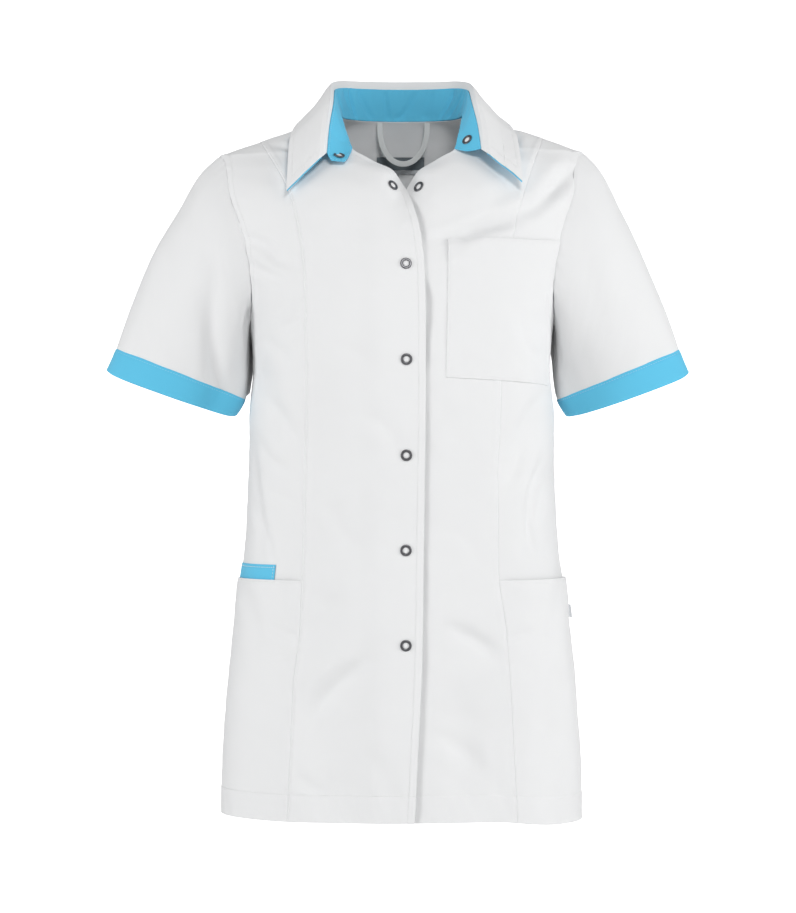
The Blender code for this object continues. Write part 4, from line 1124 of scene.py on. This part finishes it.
def makeLeaf():
    across, down = shareGrid(250, 56)
    station, fall = 2 * across - 1, collar["start"] + (1 - collar["start"]) * down
    base, up = leafSkin(station, fall), sheetNormal(leafSkin, station, fall)
    fromEdge, fromEnd = (1 - fall) * collar["leafFall"], (1 - np.abs(station)) * collar["leafRun"]
    length = station * collar["run"]
    line = np.minimum(fromEdge, fromEnd) - collar["stitch"]
    out = wander(length, fall * 60 * mm, 0.3 * mm) * ease(0, 0.3, fall)
    out = out + groove(line, 0.12 * mm) + 0.15 * mm * bell(line + 2.8 * mm, 2 * mm)
    out = out + pucker(line, length + fall * 0.06, 0.12 * mm, 10 * mm)
    face = base + up * out[..., None]
    behind = face - up * collar["leafWall"]
    tree = sewCloth("collar_leaf", face, behind, "whiteTwill")
    inset, end = collar["stitch"] / collar["leafFall"], collar["stitch"] / collar["leafRun"]
    along = np.linspace(-1 + end, 1 - end, 240)
    sew(leafSkin(along, np.full_like(along, 1 - inset)), tree)
    down = np.linspace(0.3, 1 - inset, 60)
    for place in (-1 + end, 1 - end):
        sew(leafSkin(np.full_like(down, place), down), tree)


def makeUndercollar():
    # the blue layer under the leaf, a little past its front ends
    across, down = shareGrid(240, 46)
    station = 2 * across - 1
    fall = collar["underStart"] + (1 - collar["underTrim"] / 3 - collar["underStart"]) * down
    base, up = leafSkin(station, fall), sheetNormal(leafSkin, station, fall)
    ahead = unit(leafSkin(np.sign(station), fall) - leafSkin(0.97 * np.sign(station), fall))
    base = base + ahead * (collar["peek"] * ease(0.97, 1.0, np.abs(station)))[..., None]
    out = wander(station * collar["run"], fall * 60 * mm, 0.3 * mm) * ease(0, 0.3, fall)
    face = base + up * (out - collar["leafWall"] - collar["underGap"])[..., None]
    behind = face - up * collar["leafWall"]
    sewCloth("undercollar", face, behind, "blueTwill")


print("stage: pockets")

pockets = {
    "hipTop": -484 * mm,
    "hipGape": 2.6 * mm,
    "hipGapeDrop": 50 * mm,
    "hipLift": 0.3 * mm,
    "chestTop": -136 * mm,
    "chestDrop": 141.5 * mm,
    "chestSlope": 6.5 * mm,
    "chestEdge": 43.5 * mm,
    "chestLean": 3 * mm,
    "chestInset": 0.012,
    "chestFreeHeight": -185 * mm,
    "chestSide": (149 * mm, 170 * mm),
    "chestGape": 1.1 * mm,
    "chestGapeDrop": 29 * mm,
    "chestLift": 0.5 * mm,
    "chestWidth": 100 * mm,
    "chestHeight": 145 * mm,
    "chestHem": 37 * mm,
    "chestStitch": 1.7 * mm,
    "chestOuterStitch": 7.5 * mm,
    "topStitch": 1.8 * mm,
}
tab = {
    "rise": 15.5 * mm,
    "length": 28 * mm,
    "width": 50 * mm,
    "first": 0.26,
    "last": 0.985,
    "lift": 0.5 * mm,
    "wall": 0.8 * mm,
}


def patch(node, turn, height, lift, wall, finish):
    # a piece laid on the cloth of another node on the body's front, raised by its own thickness
    points, normals = bodyFace(turn, height)
    out = clothLift(points) + hemLift(points, height) + lift
    outer = points + normals * (out + wall)[..., None]
    inner = points + normals * out[..., None]
    return outer, sewCloth(node, outer, inner, finish)


def chestPocket():
    across, along = shareGrid(46, 60)
    drop = pockets["chestDrop"] + pockets["chestSlope"] * across
    height = pockets["chestTop"] - drop * along
    first = turnAtX(pockets["chestEdge"] - pockets["chestLean"] * along, height)
    free = smoothCurve((pockets["chestFreeHeight"], pockets["chestTop"]), pockets["chestSide"], height)
    last = np.minimum(outerTurn("left", "front", height) - pockets["chestInset"], turnAtX(free, height))
    turn = first + (last - first) * across
    left, right = across * pockets["chestWidth"], (1 - across) * pockets["chestWidth"]
    top, bottom = along * pockets["chestHeight"], (1 - along) * pockets["chestHeight"]
    low = pockets["chestTop"] - pockets["chestGapeDrop"]
    lift = pockets["chestLift"] + pockets["chestGape"] * ease(low, pockets["chestTop"], height)
    for distance in (left, bottom, top):
        lift = lift + groove(distance - pockets["chestStitch"], 0.3 * mm)
        lift = lift - 0.35 * mm * bell(distance, 0.8 * mm)
        lift = lift + pucker(distance, left + top, 0.14 * mm, 9 * mm)
    lift = lift + groove(top - pockets["chestHem"], 0.16 * mm, 1.2 * mm)
    for inset in (pockets["chestStitch"], pockets["chestOuterStitch"]):
        lift = lift + groove(right - inset, 0.25 * mm) * ease(0.3, 0.4, along)
    lift = lift + wander(left, top, 0.2 * mm)
    outer, tree = patch("chest_pocket", turn, height, lift, body["wall"], "whiteTwill")
    # along the rows and columns in the grooves; the outer edge has stitches of its own below the armhole
    hemRow, below = int(np.argmax(top[:, 0] > pockets["chestHem"])), slice(22, None)
    for line in (outer[:, 2], outer[-3], outer[2], outer[hemRow], outer[below, -3], outer[below, -6]):
        sew(line, tree)


def hipPocket(side):
    rows = np.concatenate([
        pockets["hipTop"] - np.array([0, 0.4, 1.0, 1.8, 3.0, 4.4]) * mm,
        hemRows(pockets["hipTop"] - 6.5 * mm),
    ])
    height = rows[:, None]
    first = turnAtX(princessX(side, height) + sides[side] * body["seamGap"], height)
    last = outerTurn(side, "front", height)
    turn, distance, width = layAcross(height, first, last, edgeColumns(), edgeColumns(), 2.9 * mm)
    top = pockets["hipTop"] - height
    low = pockets["hipTop"] - pockets["hipGapeDrop"]
    lift = pockets["hipLift"] + pockets["hipGape"] * ease(low, pockets["hipTop"], height)
    caught = bell(distance, 9 * mm) + bell(width - distance, 9 * mm)
    lift = 0.1 * mm + (lift - 0.1 * mm) * (1 - np.minimum(caught, 1))
    lift = lift + groove(top - pockets["topStitch"], 0.25 * mm)
    lift = lift - 0.3 * mm * bell(top, 0.8 * mm) + seamEdge(distance, 0, roll=0.5 * mm)
    lift = lift + pucker(distance, height + 0 * distance, panel["seamWaves"])
    lift = lift + pucker(top, distance, 0.12 * mm)
    outer, tree = patch(f"pocket_{side}", turn, height, lift, body["wall"], "whiteTwill")
    sew(levelLine(outer, height, pockets["hipTop"] - pockets["topStitch"]), tree)
    sew(levelLine(outer, height, hemLine), tree)


def innerPocket():
    across, along = shareGrid(24, 12)
    height = pockets["hipTop"] + tab["rise"] - tab["length"] * along
    first = turnAtX(princessX("right", height) - body["seamGap"], height)
    last = outerTurn("right", "front", height)
    turn = first + (last - first) * (tab["first"] + (tab["last"] - tab["first"]) * across)
    top, edge = along * tab["length"], across * tab["width"]
    lift = tab["lift"] - 0.25 * mm * bell(top, 0.7 * mm) + groove(top - pockets["topStitch"], 0.22 * mm)
    lift = lift + groove(edge - pockets["topStitch"], 0.22 * mm) + pucker(top, edge, 0.12 * mm, 8 * mm)
    outer, tree = patch("inner_pocket", turn, height, lift, tab["wall"], "blueTwill")
    sew(outer[3], tree)
    sew(outer[:14, 2], tree)


for sideName in sides:
    trees[f"front_{sideName}"] = frontCentre(sideName)
    frontSide(sideName)
    makeSleeve(sideName)
    makeCuff(sideName)
    hipPocket(sideName)
backPanel()
trees["stand"] = makeStand()
makeLeaf()
makeUndercollar()
chestPocket()
innerPocket()

print("stage: snaps, loop and labels")

snap = {
    "radius": 4.55 * mm,
    "half": 1.35 * mm,
    "height": 0.75 * mm,
    "sink": 0.1 * mm,
    "domeRadius": 3.5 * mm,
    "domeHeight": 0.75 * mm,
    "domeLift": 0.15 * mm,
    "around": 48,
    "section": 14,
    "domeAround": 32,
    "domeRings": 7,
}


def turnedProfile(radii, heights, steps):
    # a profile of radii and heights turned about the Z axis
    angle = 2 * math.pi * np.arange(steps) / steps
    return np.stack([
        np.cos(angle)[:, None] * radii, np.sin(angle)[:, None] * radii, 0 * angle[:, None] + heights
    ], axis=-1)


def ringFaces(around, count, closed):
    # quads between neighbouring profiles, all the way round
    i, j = np.meshgrid(np.arange(around), np.arange(count if closed else count - 1), indexing="ij")
    ahead, above = (i + 1) % around, (j + 1) % count
    corners = i * count + j, ahead * count + j, ahead * count + above, i * count + above
    return np.stack(corners, axis=-1).reshape(-1, 4)


def seatFrame(node, tree):
    # where a snap's solid sits on the cloth, and three axes there
    low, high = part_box(node)
    centre = (low + high) / 2
    spot, normal = tree.find_nearest(centre)[:2]
    normal = np.array(normal) * (1 if (centre - spot).dot(normal) > 0 else -1)
    sideways = unit(np.cross((0, 0, 1), normal))
    return np.array(spot), np.stack([sideways, np.cross(normal, sideways), normal])


def makeSnap(node, tree):
    # a ring whose section is a rounded bar, and the points of the low dome inside it
    spot, axes = seatFrame(node, tree)
    angle = 2 * math.pi * np.arange(snap["section"]) / snap["section"]
    bulge = np.sign(np.sin(angle)) * np.abs(np.sin(angle)) ** 0.8
    radii = snap["radius"] + snap["half"] * np.sign(np.cos(angle)) * np.abs(np.cos(angle)) ** 0.85
    heights = snap["height"] * bulge + snap["height"] - snap["sink"]
    ring = turnedProfile(radii, heights, snap["around"]).reshape(-1, 3) @ axes + spot
    faces = ringFaces(snap["around"], snap["section"], True)
    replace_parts(addPiece(f"{node}_ring", ring, faces.tolist(), "ringMetal"), node)
    share = np.linspace(1, 0.04, snap["domeRings"])
    heights = snap["domeHeight"] * (1 - share**2) + snap["domeLift"]
    dome = turnedProfile(share * snap["domeRadius"], heights, snap["domeAround"]).reshape(-1, 3)
    return dome @ axes + spot


def makeSnaps():
    # the nine rings, and one mesh of their centres: each a dome closed by a fan round its middle point
    places = [(f"snap_{i + 1}", "front_right") for i in range(5)]
    places += [("snap_top_right", "front_right"), ("snap_top_left", "front_left")]
    places += [("snap_collar_right", "stand"), ("snap_collar_left", "stand")]
    domes = [makeSnap(node, trees[tree]) for node, tree in places]
    rings, around = snap["domeRings"], snap["domeAround"]
    hubs = [np.concatenate([[dome[rings - 1::rings].mean(axis=0)], dome]) for dome in domes]
    turn = np.arange(around)
    spokes = np.stack([rings + rings * turn, rings + rings * ((turn + 1) % around), 0 * turn], axis=-1)
    walls, size = ringFaces(around, rings, False) + 1, len(hubs[0])
    faces = [(part + size * k).tolist() for k in range(len(hubs)) for part in (walls, spokes)]
    addPiece("snap_centres", np.concatenate(hubs), sum(faces, []), "whiteTwill")


loop = {
    "middle": 4 * mm,
    "half": 25.6 * mm,
    "drop": 42.5 * mm,
    "width": 5.3 * mm,
    "wall": 0.7 * mm,
    "top": -1.2 * mm,
    "slope": 0.12,
    "inside": 2.2 * mm,
}
# The labels in the back of the neck: left, right, top and bottom in millimetres, then how far inside the
# back their two faces lie.
labels = {
    "neck_label": (-24, 27, -36.5, -49.5),
    "size_label": (-15.5, 27, -49.9, -53.5),
}
labelDepths = (2.6 * mm, 2.0 * mm)
sideTab = {"top": -512 * mm, "height": 13.5 * mm, "slant": 2 * mm, "reach": 5 * mm, "wall": 0.6 * mm}


def hangerLoop():
    # an arc of x = half * sin, drop * cos^0.8 inside the back of the neck, as wide as the tape
    across, along = shareGrid(110, 9)
    angle = (2 * across - 1) * math.pi / 2
    centreX = loop["middle"] + loop["half"] * np.sin(angle)
    centreZ = -loop["drop"] * np.maximum(np.cos(angle), 0) ** 0.8
    aheadX, aheadZ = loop["half"] * np.cos(angle) + 1e-9, loop["drop"] * np.sin(angle)
    size = np.hypot(aheadX, aheadZ)
    x = centreX - aheadZ / size * loop["width"] * (along - 0.5)
    drop = centreZ + aheadX / size * loop["width"] * (along - 0.5)
    neck = np.full_like(x, loop["top"])
    points, normals = bodyFace(math.pi - turnAtX(x, neck), neck)
    points = points - normals * loop["inside"]
    points[..., 1] -= loop["slope"] * drop
    points[..., 2] += drop
    points[..., 1] -= 0.35 * mm * np.sin(angle * 5 + 1) * np.cos(angle)
    bulge = 0.15 * mm * np.sin(math.pi * along)
    face = points.copy()
    face[..., 1] -= loop["wall"] + bulge
    sewCloth("hanger_loop", face, points, "tape", kind="tape")


def backLabel(node, finish):
    # a bare ribbon inside the back, with a slight wave
    left, right, top, bottom = (value * mm for value in labels[node])
    across, along = shareGrid(50, 14)
    height = top + (bottom - top) * along
    points, normals = bodyFace(math.pi - turnAtX(left + (right - left) * across, height), height)
    out = 0.12 * mm * np.sin(across * 19) * along + 0.1 * mm * np.sin(across * 7 + 2)
    face, behind = (points - normals * (depth + out)[..., None] for depth in labelDepths)
    sewCloth(node, face, behind, finish)


def sideLabel():
    across, along = shareGrid(12, 16)
    height = sideTab["top"] - sideTab["height"] * along - sideTab["slant"] * across
    points, normals = bodyFace(np.full_like(height, math.pi / 2), height)
    face = points + normals * (0.3 * mm + sideTab["reach"] * across)[..., None]
    face[..., 1] += 0.15 * mm + 0.4 * mm * np.sin(across * 2.4) * along
    behind = face.copy()
    behind[..., 1] += sideTab["wall"]
    sewCloth("side_label", face, behind, "paleLabel")


def makeStitches(thread, finish):
    # every stitch is a small spindle: two squares of points and a tip at each end
    spots, ahead, normals = (np.concatenate(part) for part in zip(*stitches[thread]))
    sideways = unit(np.cross(normals, ahead))
    lean = 0.06 * np.sin(np.arange(len(spots)) * 2.39)[:, None]
    ahead = unit(np.cross(sideways, normals) + sideways * lean)
    shape = [(-1.15, 0, 0)]
    for end in (-0.72, 0.72):
        shape += [(end, 0.27, 0.02), (end, 0, 0.27), (end, -0.27, 0.02), (end, 0, -0.2)]
    shape = np.array(shape + [(1.15, 0, 0)]) * mm
    axes = np.stack([ahead, sideways, normals], axis=1)
    points = spots[:, None] + 0.06 * mm * normals[:, None] + np.einsum("ki,nij->nkj", shape, axes)
    k = np.arange(4)
    n = (k + 1) % 4
    cone = np.stack([0 * k, 1 + n, 1 + k], axis=-1)
    lower, upper = np.stack([1 + k, 1 + n, 5 + n], axis=-1), np.stack([1 + k, 5 + n, 5 + k], axis=-1)
    tip = np.stack([9 + 0 * k, 5 + k, 5 + n], axis=-1)
    faces = np.concatenate([cone, lower, upper, tip])
    every = (faces[None] + 10 * np.arange(len(spots))[:, None, None]).reshape(-1, 3)
    addPiece(f"stitching_{thread}", points.reshape(-1, 3), every.tolist(), finish)


makeSnaps()
hangerLoop()
backLabel("neck_label", "darkLabel")
backLabel("size_label", "paleLabel")
sideLabel()
makeStitches("white", "thread")
makeStitches("blue", "blueThread")

print("stage: finishes")


def newGroup(name, sockets):
    group = bpy.data.node_groups.new(name, "ShaderNodeTree")
    for way, socketName, kind, value in sockets:
        socket = group.interface.new_socket(socketName, in_out=way, socket_type=kind)
        if value is not None:
            socket.default_value = value
    return group, group.nodes.new("NodeGroupInput"), group.nodes.new("NodeGroupOutput")


def mathNode(tree, operation, first, second=None, third=None):
    node = tree.nodes.new("ShaderNodeMath")
    node.operation = operation
    for socket, value in zip(node.inputs, (first, second, third)):
        if isinstance(value, bpy.types.NodeSocket):
            tree.links.new(value, socket)
        elif value is not None:
            socket.default_value = value
    return node.outputs[0]


def twillGroup():
    # twill: raised diagonal ribs, each broken up by the threads that cross it, with uneven yarn
    group, inlet, outlet = newGroup("twillWeave", (
        ("INPUT", "Vector", "NodeSocketVector", None),
        ("INPUT", "Rib", "NodeSocketFloat", 0.75 * mm),
        ("INPUT", "Yarn", "NodeSocketFloat", 0.35),
        ("OUTPUT", "Height", "NodeSocketFloat", None),
        ("OUTPUT", "Mask", "NodeSocketFloat", None),
    ))
    split = group.nodes.new("ShaderNodeSeparateXYZ")
    group.links.new(inlet.outputs["Vector"], split.inputs[0])
    u = mathNode(group, "DIVIDE", split.outputs["X"], inlet.outputs["Rib"])
    v = mathNode(group, "DIVIDE", split.outputs["Y"], inlet.outputs["Rib"])
    slope = mathNode(group, "MULTIPLY", mathNode(group, "ADD", u, v), 2 * math.pi)
    rib = mathNode(group, "MULTIPLY_ADD", mathNode(group, "SINE", slope), 0.5, 0.5)
    cross = mathNode(group, "SINE", mathNode(group, "MULTIPLY", u, 4 * math.pi))
    noise = group.nodes.new("ShaderNodeTexNoise")
    noise.inputs["Scale"].default_value = 900
    noise.inputs["Detail"].default_value = 2
    group.links.new(inlet.outputs["Vector"], noise.inputs["Vector"])
    yarn = mathNode(group, "MULTIPLY", noise.outputs["Fac"], inlet.outputs["Yarn"])
    height = mathNode(group, "ADD", mathNode(group, "MULTIPLY_ADD", cross, 0.18, rib), yarn)
    group.links.new(height, outlet.inputs["Height"])
    group.links.new(mathNode(group, "MULTIPLY", rib, noise.outputs["Fac"]), outlet.inputs["Mask"])
    return group


def softGroup():
    # broad soft differences of tone and small rubbed places over the whole garment
    group, inlet, outlet = newGroup("clothTone", (
        ("INPUT", "Vector", "NodeSocketVector", None),
        ("INPUT", "Scale", "NodeSocketFloat", 9.0),
        ("OUTPUT", "Tone", "NodeSocketFloat", None),
        ("OUTPUT", "Nap", "NodeSocketFloat", None),
    ))
    broad, fine = (group.nodes.new("ShaderNodeTexNoise") for _ in range(2))
    broad.inputs["Detail"].default_value = 3
    fine.inputs["Scale"].default_value = 240
    fine.inputs["Detail"].default_value = 4
    group.links.new(inlet.outputs["Scale"], broad.inputs["Scale"])
    for noise, socketName in ((broad, "Tone"), (fine, "Nap")):
        group.links.new(inlet.outputs["Vector"], noise.inputs["Vector"])
        group.links.new(noise.outputs["Fac"], outlet.inputs[socketName])
    return group


twillWeave, clothTone = twillGroup(), softGroup()


def startFinish(name, **values):
    # a finish's nodes and shader, and where its noise is placed
    finishes[name].use_nodes = True
    tree = finishes[name].node_tree
    shader = tree.nodes["Principled BSDF"]
    for key, value in values.items():
        shader.inputs[key.replace("_", " ")].default_value = value
    return tree, shader, tree.nodes.new("ShaderNodeTexCoord").outputs["Object"]


def mixTones(tree, shader, dark, light, amount):
    mix = tree.nodes.new("ShaderNodeMix")
    mix.data_type = "RGBA"
    mix.inputs["A"].default_value = (*dark, 1)
    mix.inputs["B"].default_value = (*light, 1)
    tree.links.new(amount, mix.inputs["Factor"])
    tree.links.new(mix.outputs["Result"], shader.inputs["Base Color"])


def dressCloth(name, light, dark, roughness, rib, bump, sheen, coarse=0.35):
    # the weave runs in the cloth's own lengths, and gives both the tone and the relief of the threads
    tree, shader, place = startFinish(
        name, Roughness=roughness, Specular_IOR_Level=0.25, Sheen_Weight=sheen, Sheen_Roughness=0.45
    )
    uv = tree.nodes.new("ShaderNodeUVMap")
    uv.uv_map = "cloth"
    weave, tone = (tree.nodes.new("ShaderNodeGroup") for _ in range(2))
    weave.node_tree, tone.node_tree = twillWeave, clothTone
    weave.inputs["Rib"].default_value = rib
    weave.inputs["Yarn"].default_value = coarse
    tree.links.new(uv.outputs["UV"], weave.inputs["Vector"])
    tree.links.new(place, tone.inputs["Vector"])
    amount = mathNode(tree, "MULTIPLY_ADD", weave.outputs["Mask"], 0.35, 0.3)
    amount = mathNode(tree, "MULTIPLY_ADD", tone.outputs["Tone"], 0.6, amount)
    mixTones(tree, shader, dark, light, amount)
    height = mathNode(tree, "MULTIPLY_ADD", tone.outputs["Nap"], 0.5, weave.outputs["Height"])
    relief = tree.nodes.new("ShaderNodeBump")
    relief.inputs["Strength"].default_value = bump
    relief.inputs["Distance"].default_value = 0.06 * mm
    tree.links.new(height, relief.inputs["Height"])
    tree.links.new(relief.outputs["Normal"], shader.inputs["Normal"])


def dressThread(name, light, dark):
    # twisted thread: fine slanting stripes in its own coordinates
    tree, shader, place = startFinish(name, Roughness=0.6, Sheen_Weight=0.15)
    wave = tree.nodes.new("ShaderNodeTexWave")
    wave.inputs["Scale"].default_value = 700
    wave.inputs["Distortion"].default_value = 1.5
    tree.links.new(place, wave.inputs["Vector"])
    mixTones(tree, shader, dark, light, wave.outputs["Fac"])


def dressMetal(name, light, dark):
    # nickelled brass with faint handling marks, in its tone and its roughness
    tree, shader, place = startFinish(name, Metallic=1.0)
    marks = tree.nodes.new("ShaderNodeTexNoise")
    marks.inputs["Scale"].default_value = 1400
    marks.inputs["Detail"].default_value = 3
    tree.links.new(place, marks.inputs["Vector"])
    mixTones(tree, shader, dark, light, marks.outputs["Fac"])
    roughness = mathNode(tree, "MULTIPLY_ADD", marks.outputs["Fac"], 0.2, 0.3)
    tree.links.new(roughness, shader.inputs["Roughness"])


# Each cloth's light and dark tone, roughness, rib, relief and sheen, and for the labels a coarser yarn.
cloths = {
    "whiteTwill": ((0.84, 0.845, 0.85), (0.78, 0.785, 0.79), 0.85, 0.75 * mm, 0.25, 0.12),
    "blueTwill": ((0.14, 0.59, 0.85), (0.09, 0.49, 0.73), 0.85, 0.75 * mm, 0.3, 0.12),
    "tape": ((0.84, 0.85, 0.84), (0.72, 0.74, 0.73), 0.8, 1.1 * mm, 0.4, 0.1),
    "darkLabel": ((0.20, 0.23, 0.25), (0.09, 0.11, 0.12), 0.6, 0.5 * mm, 0.4, 0.1, 0.6),
    "paleLabel": ((0.66, 0.68, 0.70), (0.52, 0.54, 0.56), 0.6, 0.5 * mm, 0.4, 0.1, 0.6),
}
for clothName, look in cloths.items():
    dressCloth(clothName, *look)
dressThread("thread", (0.88, 0.88, 0.88), (0.76, 0.76, 0.77))
dressThread("blueThread", (0.42, 0.74, 0.92), (0.20, 0.55, 0.80))
dressMetal("ringMetal", (0.22, 0.22, 0.23), (0.12, 0.12, 0.13))

print("stage: studio")

studio = {
    "distance": 3.4,
    "centreHeight": -357.5 * mm,
    "turn": math.radians(-2),
    "shift": 3.7 * mm,
    "frameHeight": 958.65 * mm,
    "filmWidth": 36,
    "viewEnd": 50,
    "tone": 0.88,
    "floor": (-12, 12, -12, 2.8, -1.5),  # left, right, front, back and height
    "wall": (-1.5, 1.2, -1.9, 1.3, 4.5),  # left, right, bottom, top and how far behind
    "backdropGlow": 1.05,
    "worldGlow": 0.35,
    "shownGlow": 0.62,  # how bright the world and the floor look behind the garment
    "target": (0, 0, -0.36),
}
# Each light's place, width and height in metres, and power in watts.
lights = {
    "front": ((0.5, -2.7, 1.6), (1.0, 0.8), 37),
    "right": ((3.05, -1.35, -0.2), (1.3, 1.6), 43),
    "left": ((-3.05, -1.35, -0.3), (1.3, 1.6), 43),
}


def makeCamera():
    data = bpy.data.cameras.new("camera")
    camera = bpy.data.objects.new("camera", data)
    bpy.context.scene.collection.objects.link(camera)
    turn = studio["turn"]
    back = Vector((math.sin(turn), -math.cos(turn), 0)) * studio["distance"]
    left = Vector((-math.cos(turn), -math.sin(turn), 0)) * studio["shift"]
    camera.location = back + left + Vector((0, 0, studio["centreHeight"]))
    camera.rotation_euler = (math.pi / 2, 0, turn)
    data.sensor_width = studio["filmWidth"]
    data.lens = studio["filmWidth"] * studio["distance"] / studio["frameHeight"]
    data.clip_end = studio["viewEnd"]
    bpy.context.scene.camera = camera


def makeSheet(name, corners, glow, seenOnly=False):
    # a plain pale surface of the studio, with a glow of its own that may light nothing
    finish = bpy.data.materials.new(name)
    finish.use_nodes = True
    tree = finish.node_tree
    shader = tree.nodes["Principled BSDF"]
    shader.inputs["Base Color"].default_value = (*[studio["tone"]] * 3, 1)
    shader.inputs["Roughness"].default_value = 0.9
    shader.inputs["Emission Strength"].default_value = glow
    if seenOnly:
        seen = tree.nodes.new("ShaderNodeLightPath").outputs["Is Camera Ray"]
        tree.links.new(seen, shader.inputs["Emission Color"])
    else:
        shader.inputs["Emission Color"].default_value = (1, 1, 1, 1)
    addMesh(name, np.array(corners, float), [[0, 1, 2, 3]], finish)


def makeStage():
    # a pale floor, and a lit white wall well behind it
    left, right, front, back, low = studio["floor"]
    corners = [(x, y, low) for x, y in ((left, front), (right, front), (right, back), (left, back))]
    makeSheet("floor", corners, studio["shownGlow"] - studio["worldGlow"], True)
    left, right, low, high, behind = studio["wall"]
    corners = [(x, behind, z) for x, z in ((left, low), (right, low), (right, high), (left, high))]
    makeSheet("wall", corners, studio["backdropGlow"])


def makeWorld():
    # even white light from all round, which looks brighter than it lights
    world = bpy.data.worlds.new("studio")
    world.use_nodes = True
    tree = world.node_tree
    background = tree.nodes["Background"]
    background.inputs["Color"].default_value = (1, 1, 1, 1)
    seen = tree.nodes.new("ShaderNodeLightPath").outputs["Is Camera Ray"]
    more = studio["shownGlow"] - studio["worldGlow"]
    glow = mathNode(tree, "MULTIPLY_ADD", seen, more, studio["worldGlow"])
    tree.links.new(glow, background.inputs["Strength"])
    bpy.context.scene.world = world


def makeLight(name, place, size, power):
    data = bpy.data.lights.new(name, "AREA")
    data.shape = "RECTANGLE"
    data.size, data.size_y = size
    data.energy = power
    light = bpy.data.objects.new(name, data)
    bpy.context.scene.collection.objects.link(light)
    light.location = place
    light.rotation_euler = (Vector(studio["target"]) - Vector(place)).to_track_quat("-Z", "Y").to_euler()


makeCamera()
makeStage()
makeWorld()
for lightName, light in lights.items():
    makeLight(lightName, *light)
bpy.context.scene.view_settings.view_transform = "Standard"

for cut in cuts:
    print("cut: %s %.3f x %.3f m, %.4f m2" % cut)
